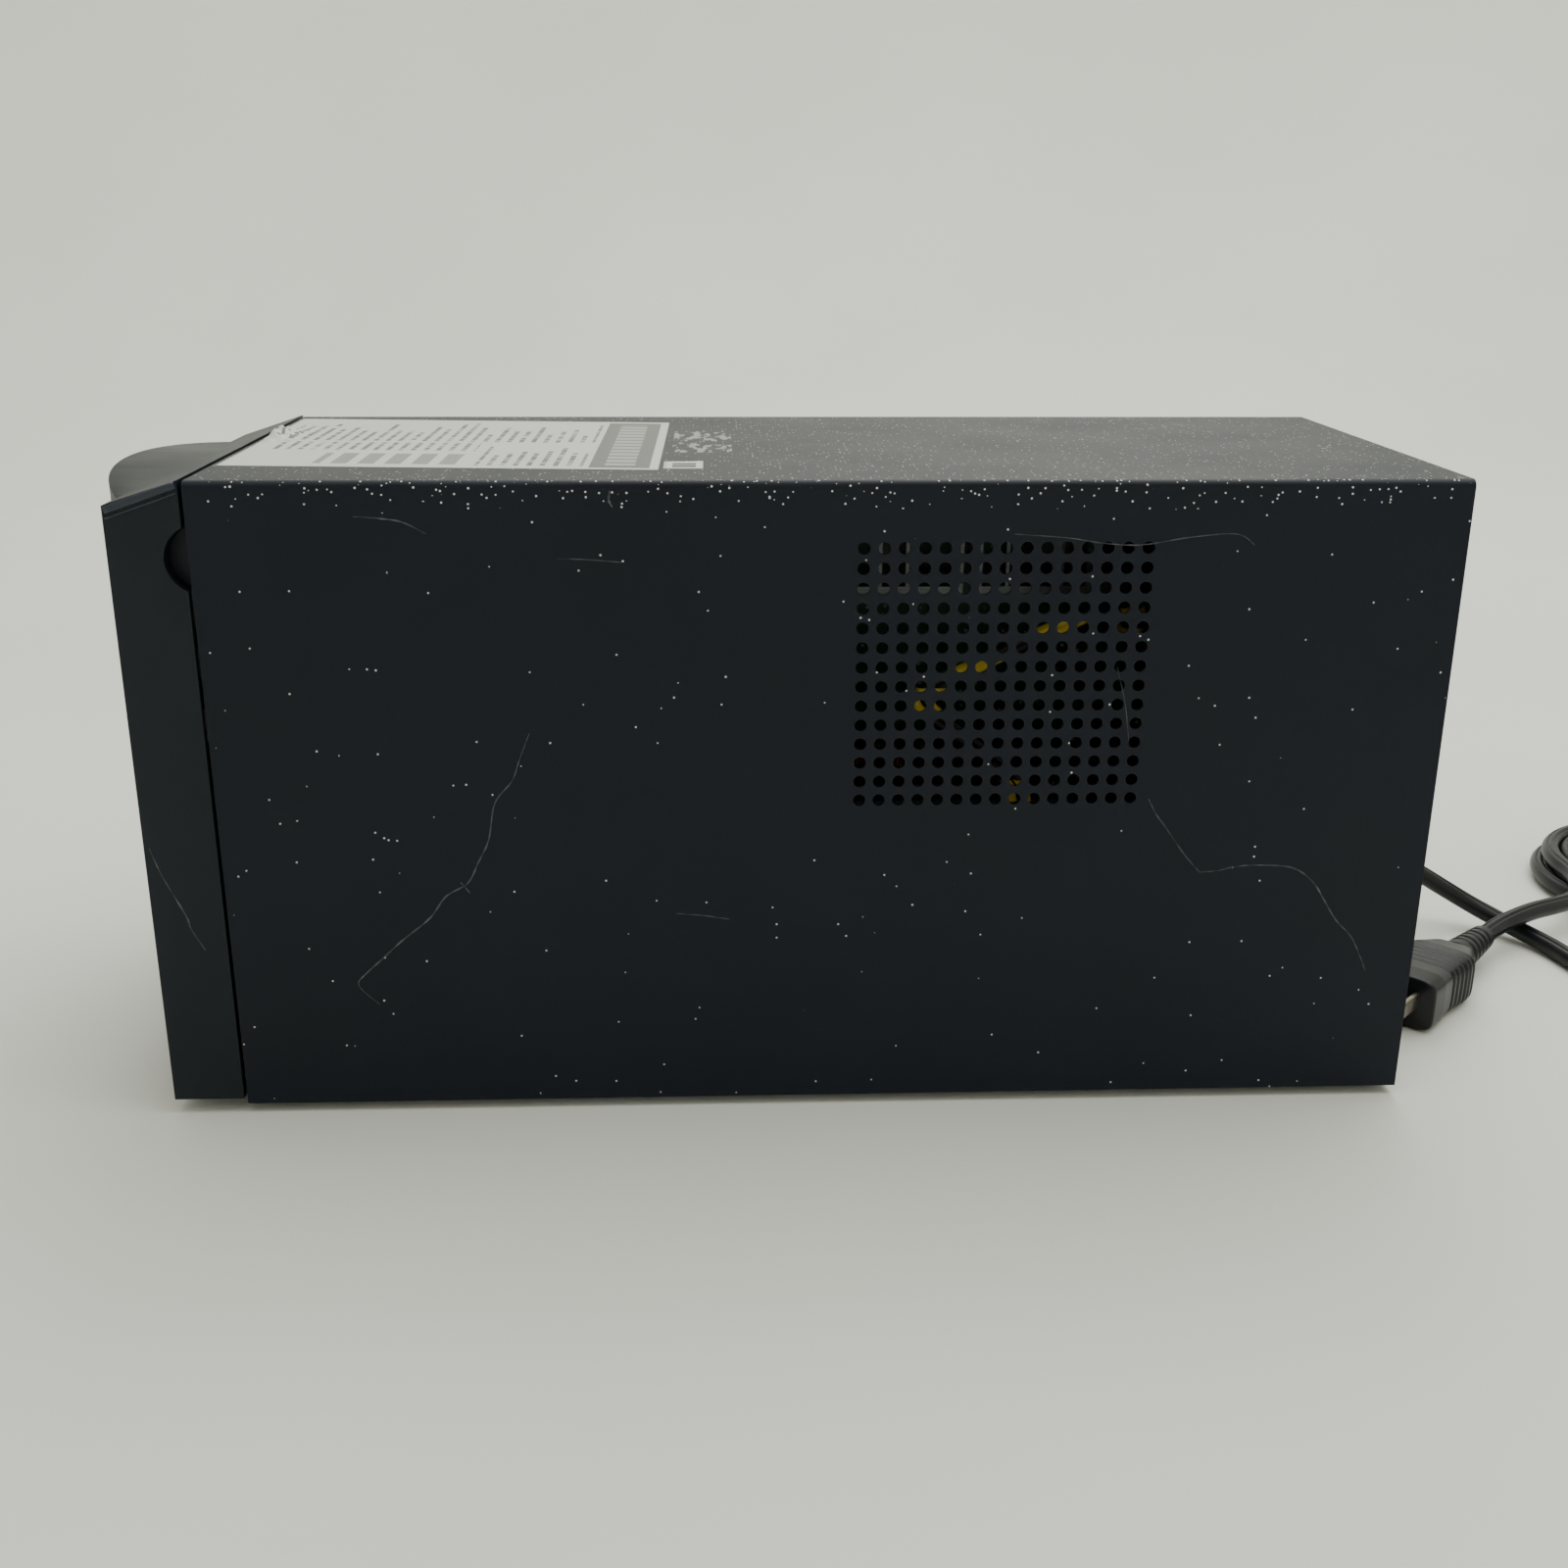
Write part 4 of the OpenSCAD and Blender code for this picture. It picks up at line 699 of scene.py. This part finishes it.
class BATTERYBACKUP_OT_camera(bpy.types.Operator):
    """Sets up the camera: a short lens a little above the unit, square to its long side."""
    bl_idname = "battery_backup.camera"
    bl_label = "Camera"

    def execute(self, context):
        yaw, pitch, roll = (math.radians(a) for a in CAMERA_ANGLES)
        level = np.array([math.cos(yaw), -math.sin(yaw), 0.0])
        ahead = np.array([math.sin(yaw) * math.cos(pitch), math.cos(yaw) * math.cos(pitch),
                          -math.sin(pitch)])
        upright = np.cross(level, ahead)
        right = level * math.cos(roll) + upright * math.sin(roll)
        up = -level * math.sin(roll) + upright * math.cos(roll)
        lens = bpy.data.cameras.new("camera")
        lens.sensor_width = 36
        lens.lens = CAMERA_LENS
        lens.clip_start = 0.01
        lens.clip_end = 20
        camera = bpy.data.objects.new("camera", lens)
        turn = np.eye(4)
        turn[:3, 0] = right
        turn[:3, 1] = up
        turn[:3, 2] = -ahead
        turn[:3, 3] = np.array(CAMERA_PLACE) * MM
        camera.matrix_world = Matrix(turn.tolist())
        context.scene.collection.objects.link(camera)
        context.scene.camera = camera
        return {"FINISHED"}


class BATTERYBACKUP_OT_cord(bpy.types.Operator):
    """Builds the mains cord: one grooved sheath from the rear panel through the coil to the plug, and the
    ribbed boot where it leaves the panel."""
    bl_idname = "battery_backup.cord"
    bl_label = "Mains cord"

    def execute(self, context):
        sizes = context.scene.battery_backup_cord
        sheath = insulated("extruded PVC sheath", sizes.colour, 0.3, shine=0.3)
        middle = (GLAND_LOW + GLAND_HIGH) / 2
        mouth = np.array([GLAND_HIGH[0], middle[1], LEAD_ROUTE[0][2] * MM]) / MM
        turn = np.linspace(0, COIL_TURNS, int(COIL_TURNS * 60) + 1)
        radius = eased(turn, *COIL_RADII)
        coil = np.stack([COIL_CENTRE[0] + radius * np.cos(2 * np.pi * turn),
                         COIL_CENTRE[1] + radius * np.sin(2 * np.pi * turn),
                         eased(turn, *COIL_HEIGHTS)], -1)
        whole = np.vstack([mouth[None], smooth_route(LEAD_ROUTE, 8), coil[1:],
                           smooth_route(TAIL_ROUTE, 8)[1:], np.array(PLUG_CENTRE, float)[None]])
        path = spaced(whole, 2.2) * MM
        # An oval section whose top and bottom dip at the two lines between the cores, as bell curves
        angle = round_angles(72)
        wide = sizes.width / 2 * np.cos(angle)
        tall = sizes.height / 2 * np.sin(angle)
        core_edge = 0.00135
        dip_spread = 0.00042
        dips = np.exp(-((np.abs(wide) - core_edge) / dip_spread) ** 2)
        section = np.stack([wide, tall - np.sign(tall) * sizes.groove * dips * (np.abs(tall) > 0.001)], -1)
        cord = solid("power_cord", [carried(path, section, (0.0, 0.0, 1.0))], sheath)
        place(cord, "case", "cord_pvc", "cord_lead", "cord_coil", "cord_tail")
        boot = solid("cord_boot", [turned(boot_profile(25.5), mouth * MM, (1, 0, 0))],
                     moulded("moulded PVC boot", sizes.colour, 0.36, shine=0.28))
        place(boot, "case", "cord_pvc", "cord_relief")
        finish_nodes(woven_strap("woven nylon strap"), "cord_tie")
        return {"FINISHED"}


def boot_profile(length, root=7.3, tip=5.1, ribs=5, end_round=0.8):
    """A boot's distances and radii in metres, from sizes in millimetres: a taper with smooth rings cut
    into its middle and rounded ends."""
    along = np.linspace(0, length, 90)
    taper = np.interp(along, [0, length * 0.25, length], [root, root - 0.5, tip])
    phase = (along - length * 0.16) / (length * 0.76) * ribs
    cut = np.clip(np.sin(2 * np.pi * phase) * 2.2, 0, 1) * ((phase > 0) & (phase < ribs))
    ends = np.clip(np.minimum(along, length - along) / end_round, 0, 1)
    return np.stack([along, taper - 1.0 * cut - 0.7 * (1 - np.sqrt(1 - (1 - ends) ** 2))], -1) * MM


class BATTERYBACKUP_OT_plug(bpy.types.Operator):
    """Builds the moulded three-pin plug: a waisted body with grip ribs, its boot, two blades and a round
    earth pin."""
    bl_idname = "battery_backup.plug"
    bl_label = "Plug"

    def execute(self, context):
        colour = context.scene.battery_backup_cord.colour
        start = np.array(PLUG_CENTRE, float)
        axis = np.array([math.cos(PLUG_TURN), math.sin(PLUG_TURN), 0.0])
        # Half width and half height against distance, less the grooves of the grip, as a squared oval
        places = [0, 0.8, 3, 14, 20, 34, 42, 51, 52]
        along = np.linspace(0, places[-1], 110)
        half_wide = np.interp(along, places, [7, 8, 9, 13.7, 13.9, 12.8, 13.4, 13.4, 12.7])
        half_tall = np.interp(along, places, [6.4, 7.2, 8.2, 10.4, 10.6, 9.8, 10.7, 10.7, 10])
        grip_start = 15
        grip_pitch = 3.4
        gripped = (along > grip_start) & (along < grip_start + 6 * grip_pitch)
        waves = np.sin((along - grip_start) / grip_pitch * 2 * np.pi)
        grips = np.clip(waves * 3, 0, 1) * gripped
        half_wide = half_wide - 0.6 * grips
        half_tall = half_tall - 0.5 * grips
        angle = round_angles(72)
        outline = np.stack([half_wide[:, None] * squared(np.cos(angle), 0.4),
                            half_tall[:, None] * squared(np.sin(angle), 0.4)], -1)
        body = carried((start + axis * along[:, None]) * MM, outline * MM, (0.0, 0.0, 1.0))
        boot = turned(boot_profile(30), start * MM, -axis)
        plug = solid("plug", [body, boot], moulded("moulded PVC plug", colour, 0.34, depth=0.02, shine=0.28))
        place(plug, "case", "cord_pvc", "plug_body")
        # Two blades 12.7 mm apart that narrow at the tip, and below them an earth pin with a round nose
        across = np.cross(axis, (0, 0, 1))
        root = 50.5
        reach = np.array([root, 66.5, 68.6])
        narrowing = np.array([1, 1, 0.55])[:, None, None]
        corners = np.array([[-0.75, -3.15], [0.75, -3.15], [0.75, 3.15], [-0.75, 3.15]])
        pins = []
        for side in (-1, 1):
            base = start + across * side * 12.7 / 2 + np.array([0, 0, 2.15])
            blade = (base + axis * reach[:, None]) * MM
            pins.append(carried(blade, corners * narrowing * MM, (0.0, 0.0, 1.0)))
        earth = np.array([[root, 2.35], [67.5, 2.35], [69.4, 1.9], [70.6, 1.1], [71, 0.3]]) * MM
        pins.append(turned(earth, (start + np.array([0, 0, -6])) * MM, axis, 24))
        metal = solid("plug_pins", pins, plated("nickel-plated brass", linear("b9b2a2"), 0.22), smooth=False)
        place(metal, "case", "brass")
        return {"FINISHED"}


def scratches(name, lines, face, finish):
    """Thin raised strokes on an upright face: a flat oval carried along each smooth line, tapering to its
    ends."""
    angle = round_angles(8)
    half_thick = 0.03
    shells = []
    for width, line in lines:
        route = smooth_route(line, 7)
        route += np.array([COVER_LOW[0], COVER_LOW[2]]) / MM
        path = np.stack([route[:, 0], np.full(len(route), face / MM), route[:, 1]], -1)
        taper = np.sin(np.linspace(0.06, 0.94, len(path)) * np.pi) ** 0.6
        wobble = 0.7 + 0.3 * np.sin(np.arange(len(path)) * 1.7)
        half = (width * taper * wobble)[:, None]
        outline = np.stack([half * np.cos(angle), half_thick * np.sin(angle) * np.ones_like(half)], -1)
        shells.append(carried(path * MM, outline * MM, (0.0, -1.0, 0.0)))
    return solid(name, shells, finish)


class BATTERYBACKUP_OT_case(bpy.types.Operator):
    """Finishes the painted steel case, its feet and screws, and adds the scratches on its side."""
    bl_idname = "battery_backup.case"
    bl_label = "Case"

    def execute(self, context):
        paint = context.scene.battery_backup_case.paint
        finish_nodes(powder_coat("powder-coated steel, worn", paint), "top_cover")
        finish_nodes(powder_coat("powder-coated steel", paint, worn=False),
                     "base_tray", "rear_panel", "front_frame", "slot_cover")
        finish_nodes(moulded("moulded rubber", linear("101010"), 0.75, grain=1.0), "rubber_feet")
        finish_nodes(plated("black zinc plating", linear("3a3c40"), 0.35), "cover_screws")
        marks = scratches("case_scratches", SIDE_SCRATCHES, COVER_LOW[1] - SCRATCH_GAP,
                          scratch_mark("scratched powder coat"))
        place(marks, "case", "case_paint")
        return {"FINISHED"}


class BATTERYBACKUP_OT_bezel(bpy.types.Operator):
    """Builds the bezel with its moulded edges and trim rails, the dished buttons, the window and the
    display behind it."""
    bl_idname = "battery_backup.bezel"
    bl_label = "Bezel"

    def execute(self, context):
        looks = context.scene.battery_backup_case
        abs_plastic = moulded("textured ABS", looks.bezel, 0.42, grain=0.9, shine=0.22)
        # The trim rails are the bezel's own plastic, a little smoother, with the colour made 2.6 times
        # lighter: a painted highlight for the sheen along the top of each side
        trim_with_painted_sheen = moulded("smoother ABS trim with painted sheen", scaled(looks.bezel, 2.6), 0.3, grain=0.9, depth=0.008)
        # Level cuts just above and below the light pipes and the window
        margin = 0.0016
        heights = []
        for node in ("light_pipes", "display_window"):
            low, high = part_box(node)
            heights += [float(low[2] - margin), float(high[2] + margin)]
        shell = rounded_copy("bezel", "bezel_shell", looks.edge, abs_plastic, heights)
        place(shell, "bezel", "bezel_plastic", "bezel_shell")
        place(bezel_rails(looks.rail, trim_with_painted_sheen), "bezel", "bezel_plastic")
        place(finger_recesses(abs_plastic), "bezel", "bezel_plastic")
        marks = scratches("bezel_scratches", BEZEL_SCRATCHES, BEZEL_LOW[1] - SCRATCH_GAP,
                          scratch_mark("scratched ABS"))
        place(marks, "bezel", "bezel_plastic")
        satin = moulded("satin ABS", linear("2b2d31"), 0.32, grain=0.5, depth=0.012)
        for name, body in (("power_button", "power_key"), ("scroll_button", "scroll_key"),
                           ("select_button", "select_key")):
            place(button(name, satin), body, "button_plastic", name)
        finish_nodes(clear_acrylic("smoked acrylic", linear("0b1016"), 0.3), "display_window")
        finish_nodes(clear_acrylic("clear acrylic", linear("dfe8e2"), 0.75), "light_pipes")
        finish_nodes(display_glass("display glass"), "lcd_module")
        return {"FINISHED"}


def bezel_rails(height, finish, points=12):
    """A raised trim along the top of each side: a rounded bar that follows the strip's slope, and a finer
    bead below it."""
    front, rear = strip_ends()
    angle = round_angles(20)
    # How far below the strip each one's middle lies, half its height, and how far it stands out
    bars = ((height * 0.5 + 0.0002, height * 0.5, 0.0009), (height + 0.0014, 0.0004, 0.0006))
    rings = []
    for side, face in ((-1, BEZEL_LOW[1]), (1, BEZEL_HIGH[1])):
        for drop, half_tall, proud in bars:
            path = np.stack([np.linspace(front[0] + 0.0008, rear[0] - 0.0006, points),
                             np.full(points, face),
                             np.linspace(front[1] - drop, rear[1] - drop, points)], -1)
            outline = np.stack([half_tall * squared(np.cos(angle), 0.6), proud * np.sin(angle)], -1)
            rings.append(carried(path, outline, (0.0, float(side), 0.0)))
    return solid("bezel_trim", rings, finish)


def finger_recesses(finish, radius=12.4, depth=7.0, shell=2.4, slope=1.6):
    """The back of the finger notch in each side: a cup whose depth rises from the wall's own thickness at
    the rim to its full depth a short way in, by the curve 3u^2 - 2u^3, and stays flat from there. It ends
    short of the seam. All in millimetres."""
    # The notch's centre lies 3.3 mm behind the cover's front edge and 24.5 mm below its top, and the cup
    # ends 4.9 mm in front of that centre
    centre = np.array([COVER_LOW[0] / MM + 3.3, COVER_HIGH[2] / MM - 24.5])
    rear = -4.9
    tall = np.linspace(-1, 1, 41)[:, None] * math.sqrt(radius ** 2 - rear ** 2) * 0.999
    front = -np.sqrt(radius ** 2 - tall ** 2)
    along = front + (rear - front) * np.linspace(0, 1, 25)[None, :]
    tall = tall * np.ones_like(along)
    inward = np.clip((radius - np.hypot(along, tall)) / slope, 0, 1)
    sunk = shell + (depth - shell) * inward * inward * (3 - 2 * inward)
    points = []
    faces = []
    for side, face in ((1, BEZEL_LOW[1] / MM), (-1, BEZEL_HIGH[1] / MM)):
        sheet = np.dstack([centre[0] + along, face + side * sunk, centre[1] + tall]).reshape(-1, 3)
        faces.append(grid_faces(*along.shape, close=False)[:, ::side] + len(points) * len(sheet))
        points.append(sheet)
    made = new_object("finger_recesses", np.vstack(points) * MM, faces, finish)
    wall = made.modifiers.new("wall", "SOLIDIFY")
    wall.thickness = 0.0008
    wall.offset = 0
    return made


def strip_ends():
    """Front and rear end of the top strip at the bezel's side, as x and z: the points that stand highest
    on the side face."""
    points = node_points("bezel_shell")
    side = points[points[:, 1] < BEZEL_LOW[1] + 1e-5]
    front = side[side[:, 0] < side[:, 0].min() + 1e-4]
    rear = side[side[:, 0] > side[:, 0].max() - 1e-4]
    return [(float(front[0, 0]), float(front[:, 2].max())), (float(rear[0, 0]), float(rear[:, 2].max()))]


def button(node, finish, flange=1.6, rim_radius=0.9, dished=0.75):
    """A round key cap on the X axis: a dished face, a rounded rim, a straight wall and a flange behind.
    All in millimetres."""
    low, high = (np.array(c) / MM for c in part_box(node))
    radius = (high[1] - low[1]) / 2 - flange
    depth = high[0] - low[0]
    out = np.linspace(0.02, 1, 14)
    dish = np.stack([rim_radius - dished * out ** 2, out * (radius - rim_radius)], -1)
    turn = np.linspace(0.1, 1, 7) * np.pi / 2
    rim = np.stack([rim_radius - dished * np.cos(turn), radius - rim_radius + rim_radius * np.sin(turn)],
                   -1)
    wall = np.array([[depth - 1.5, radius], [depth - 1.4, radius + flange], [depth, radius + flange]])
    profile = np.vstack([dish, rim, wall]) * MM
    start = np.array([low[0], (low[1] + high[1]) / 2, (low[2] + high[2]) / 2]) * MM
    return solid(node + "_cap", [turned(profile, start, (1, 0, 0), 48)], finish)


class BATTERYBACKUP_OT_labels(bpy.types.Operator):
    """Builds the rating label, which has lifted at its front edge, and the small striped label."""
    bl_idname = "battery_backup.labels"
    bl_label = "Labels"

    def execute(self, context):
        paper = context.scene.battery_backup_case.label
        top = COVER_HIGH[2] + LABEL_GAP
        u, v = np.meshgrid(np.linspace(0, 1, 121), np.linspace(0, 1, 107), indexing="ij")
        a, b, c, d = label_corners()
        flat = ((a * (1 - u[..., None]) + b * u[..., None]) * (1 - v[..., None])
                + (d * (1 - u[..., None]) + c * u[..., None]) * v[..., None])
        # A crumpled blister at the front edge: two bell curves, times creases that are waves at an angle
        blister_at = 73
        blister_height = 0.0064
        from_edge = u * LABEL_LENGTH
        along_edge = v * LABEL_WIDTH - blister_at
        bell = np.exp(-(from_edge / 8.5) ** 2 - (along_edge / 15) ** 2)
        creases = (1 - 0.42 * np.abs(np.sin(from_edge * 0.55 + along_edge * 0.31))
                   - 0.3 * np.abs(np.cos(along_edge * 0.43 - from_edge * 0.27)))
        lift = blister_height * bell * creases * np.clip(from_edge / 3.2, 0.06, 1)
        sheet = grid_sheet("rating_label", np.dstack([flat, top + lift]),
                           printed_film("printed film", paper))
        place(sheet, "case", "label", "top_label")
        low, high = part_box("barcode_label")
        u, v = np.meshgrid(np.linspace(0, 1, 9), np.linspace(0, 1, 9), indexing="ij")
        rise = 0.0004 * np.clip(u * v - 0.6, 0, 1)
        patch = np.dstack([low[0] + (high[0] - low[0]) * u, low[1] + (high[1] - low[1]) * v, top + rise])
        small = grid_sheet("striped_label", patch, striped_label("striped paper label", paper))
        place(small, "case", "label", "barcode_label")
        return {"FINISHED"}


def label_corners():
    """The rating label's corners as x and y: the points that lie furthest out along each diagonal."""
    points = node_points("top_label")[:, :2].astype(float)
    return [points[(points @ way).argmax()] for way in ((-1, -1), (1, -1), (1, 1), (-1, 1))]


def grid_sheet(name, points, finish):
    """A thin film from a grid of points, with the grid's two directions as its UV map."""
    rows, columns = points.shape[:2]
    sheet = new_object(name, points.reshape(-1, 3), [grid_faces(rows, columns, close=False)], finish)
    mesh = sheet.data
    corners = np.empty(len(mesh.loops), np.int32)
    mesh.loops.foreach_get("vertex_index", corners)
    places = np.stack([corners // columns / (rows - 1), corners % columns / (columns - 1)], -1)
    mesh.uv_layers.new(name="film").data.foreach_set("uv", places.ravel().astype(np.float32))
    film = sheet.modifiers.new("film", "SOLIDIFY")
    film.thickness = 0.00012
    film.offset = 1.0
    return sheet


class BATTERYBACKUP_OT_rear(bpy.types.Operator):
    """Finishes the outlets, ports, breaker, fan, screws and cord gland on the rear panel."""
    bl_idname = "battery_backup.rear"
    bl_label = "Rear panel"

    def execute(self, context):
        black = moulded("moulded nylon", linear("17181a"), 0.38, depth=0.015)
        finish_nodes(black, "outlet_bank_inner", "outlet_bank_outer", "breaker_body", "line_jacks",
                     "cord_gland")
        finish_nodes(moulded("glass-filled PBT", linear("141517"), 0.48), "fan_frame", "fan_rotor")
        finish_nodes(moulded("satin nylon", linear("1d1e20"), 0.3), "breaker_button")
        finish_nodes(plated("nickel-plated wire", linear("c0c2c4"), 0.18), "fan_guard")
        finish_nodes(plated("bright zinc plating", linear("b4b8bc"), 0.24), "fan_screws", "slot_screws",
                     "tray_screws")
        finish_nodes(plated("tinned steel shell", linear("a9adb1"), 0.28), "usb_port", "serial_port")
        finish_nodes(plated("brass", linear("b08d45"), 0.28), "earth_screw", "board_spacers")
        return {"FINISHED"}


class BATTERYBACKUP_OT_battery(bpy.types.Operator):
    """Finishes the battery tray, its handle, the two batteries and their leads."""
    bl_idname = "battery_backup.battery"
    bl_label = "Battery tray"

    def execute(self, context):
        finish_nodes(plated("zinc-plated sheet steel", linear("9ba0a4"), 0.38, patch=14), "battery_tray",
                     "battery_bay", "board_plate", "transformer_bracket")
        finish_nodes(moulded("moulded polypropylene", linear("2a2d31"), 0.5, grain=1.4), "battery_left",
                     "battery_right")
        finish_nodes(plated("tinned lead terminal", linear("a2a5a7"), 0.4), "battery_terminals")
        finish_nodes(paired_insulation("red and black insulation", linear("8a1a16"), linear("141416")),
                     "battery_leads")
        finish_nodes(moulded("grey polycarbonate", linear("8b8e91"), 0.4), "battery_plug")
        finish_nodes(moulded("dark polycarbonate", linear("4a4d50"), 0.42), "bay_socket")
        finish_nodes(moulded("handle nylon", linear("191a1c"), 0.42), "tray_handle")
        return {"FINISHED"}


class BATTERYBACKUP_OT_electronics(bpy.types.Operator):
    """Finishes the transformer, the circuit boards and what is mounted on them."""
    bl_idname = "battery_backup.electronics"
    bl_label = "Electronics"

    def execute(self, context):
        # Laminations are 0.5 mm thick and are drawn at 1 mm so that they show
        finish_nodes(banded("varnished laminations", linear("38332e"), linear("524b44"), "Y", 1.0, 0.6, 0.45,
                            0.06), "transformer_core")
        finish_nodes(banded("yellow polyester tape", linear("c29a1c"), linear("d9b43a"), "Z", 9.0, 0.0, 0.3,
                            0.08), "transformer_coil")
        top = float(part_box("transformer_leads")[1][2]) / MM
        lit_bands = [(top - high, top - low) for low, high in YELLOW_HEIGHTS]
        # Near-black outside the listed bands is painted shade inside the case
        finish_nodes(leads_in_painted_shade("yellow leads in painted shade", linear("f2d23c"), linear("101113"), lit_bands, top),
                     "transformer_leads")
        finish_nodes(circuit_board("printed circuit board"), "main_board", "comm_board", "display_board")
        finish_nodes(banded("extruded aluminium", linear("8b8f92"), linear("9ea2a5"), "Z", 1.2, 1.0, 0.32,
                            0.02), "heat_sinks")
        finish_nodes(moulded("epoxy moulding", linear("1a1b1c"), 0.5), "power_transistors", "relays")
        finish_nodes(banded("shrink sleeve", linear("16244a"), linear("1c2c58"), "Y", 14.0, 0.0, 0.28, 0.02),
                     "capacitors")
        finish_nodes(banded("enamelled copper wire", linear("7c3f1a"), linear("b4652c"), "X", 1.6, 0.7, 0.3,
                            0.3), "line_choke")
        return {"FINISHED"}


class BATTERYBACKUP_OT_stage(bpy.types.Operator):
    """Builds the studio: a round paper floor that curves up into a wall, room light and a softbox."""
    bl_idname = "battery_backup.stage"
    bl_label = "Studio"

    def execute(self, context):
        studio = context.scene.battery_backup_studio
        bend = 0.9
        wall_top = 2.6
        arc = np.linspace(0, np.pi / 2, 24)
        flat = studio.radius - bend
        out = np.concatenate([np.linspace(0.001, flat, 12)[:-1], flat + bend * np.sin(arc),
                              [studio.radius]])
        rise = np.concatenate([np.zeros(11), bend * (1 - np.cos(arc)), [wall_top]])
        angle = round_angles(studio.segments)
        rings = np.stack([out[:, None] * np.cos(angle), out[:, None] * np.sin(angle),
                          rise[:, None] * np.ones_like(angle)], -1)
        points = np.vstack([rings.reshape(-1, 3), [[0, 0, 0]]])
        here = np.arange(studio.segments)
        beside = (here + 1) % studio.segments
        centre = np.stack([np.full(studio.segments, len(points) - 1), here, beside], -1)
        floor = new_object("studio_floor", points, [grid_faces(len(out), studio.segments)[:, ::-1], centre],
                           studio_paper("background paper", studio.floor))
        world = bpy.data.worlds.new("room light")
        world.use_nodes = True
        glow = world.node_tree.nodes["Background"]
        glow.inputs["Color"].default_value = linear("fdfdf4")
        glow.inputs["Strength"].default_value = studio.daylight
        context.scene.world = world
        # Each lamp's place and side in metres, and its share of the softbox's power
        for name, place_at, size, share in (("softbox", (0.5, 0.25, 2.1), 2.2, 1.08),
                                            ("rear_softbox", (0.3, 1.7, 1.9), 1.6, 0.55)):
            lamp = bpy.data.lights.new(name, "AREA")
            lamp.size = size
            lamp.energy = studio.softbox * share
            lamp.color = (1.0, 0.995, 0.96)
            held = bpy.data.objects.new(name, lamp)
            away = -np.array(place_at) / np.linalg.norm(place_at)
            side = np.cross(away, (0.0, 1.0, 0.02))
            side /= np.linalg.norm(side)
            turn = np.eye(4)
            turn[:3, 0] = side
            turn[:3, 1] = np.cross(-away, side)
            turn[:3, 2] = -away
            turn[:3, 3] = place_at
            held.matrix_world = Matrix(turn.tolist())
            context.scene.collection.objects.link(held)
        return {"FINISHED"}


class BATTERYBACKUP_PT_panel(bpy.types.Panel):
    """Lists the steps in the order they are made, with the sizes and colours they use."""
    bl_idname = "BATTERYBACKUP_PT_panel"
    bl_label = "Battery Backup"
    bl_space_type = "VIEW_3D"
    bl_region_type = "UI"
    bl_category = "Battery Backup"

    def draw(self, context):
        for step in STEPS:
            self.layout.operator(step.bl_idname)
        for group in (context.scene.battery_backup_cord, context.scene.battery_backup_case,
                      context.scene.battery_backup_studio):
            box = self.layout.box()
            for name in group.__annotations__:
                box.prop(group, name)


STEPS = (BATTERYBACKUP_OT_camera, BATTERYBACKUP_OT_plug, BATTERYBACKUP_OT_cord, BATTERYBACKUP_OT_case,
         BATTERYBACKUP_OT_bezel, BATTERYBACKUP_OT_labels, BATTERYBACKUP_OT_rear, BATTERYBACKUP_OT_battery,
         BATTERYBACKUP_OT_electronics, BATTERYBACKUP_OT_stage)
GROUPS = (BatteryBackupCord, BatteryBackupCase, BatteryBackupStudio)


def register():
    for group in (*GROUPS, *STEPS, BATTERYBACKUP_PT_panel):
        bpy.utils.register_class(group)
    bpy.types.Scene.battery_backup_cord = PointerProperty(type=BatteryBackupCord)
    bpy.types.Scene.battery_backup_case = PointerProperty(type=BatteryBackupCase)
    bpy.types.Scene.battery_backup_studio = PointerProperty(type=BatteryBackupStudio)


def unregister():
    del bpy.types.Scene.battery_backup_cord
    del bpy.types.Scene.battery_backup_case
    del bpy.types.Scene.battery_backup_studio
    for group in reversed((*GROUPS, *STEPS, BATTERYBACKUP_PT_panel)):
        bpy.utils.unregister_class(group)


def main():
    register()
    for step in STEPS:
        family, name = step.bl_idname.split(".")
        getattr(getattr(bpy.ops, family), name)()


if __name__ == "__main__":
    main()
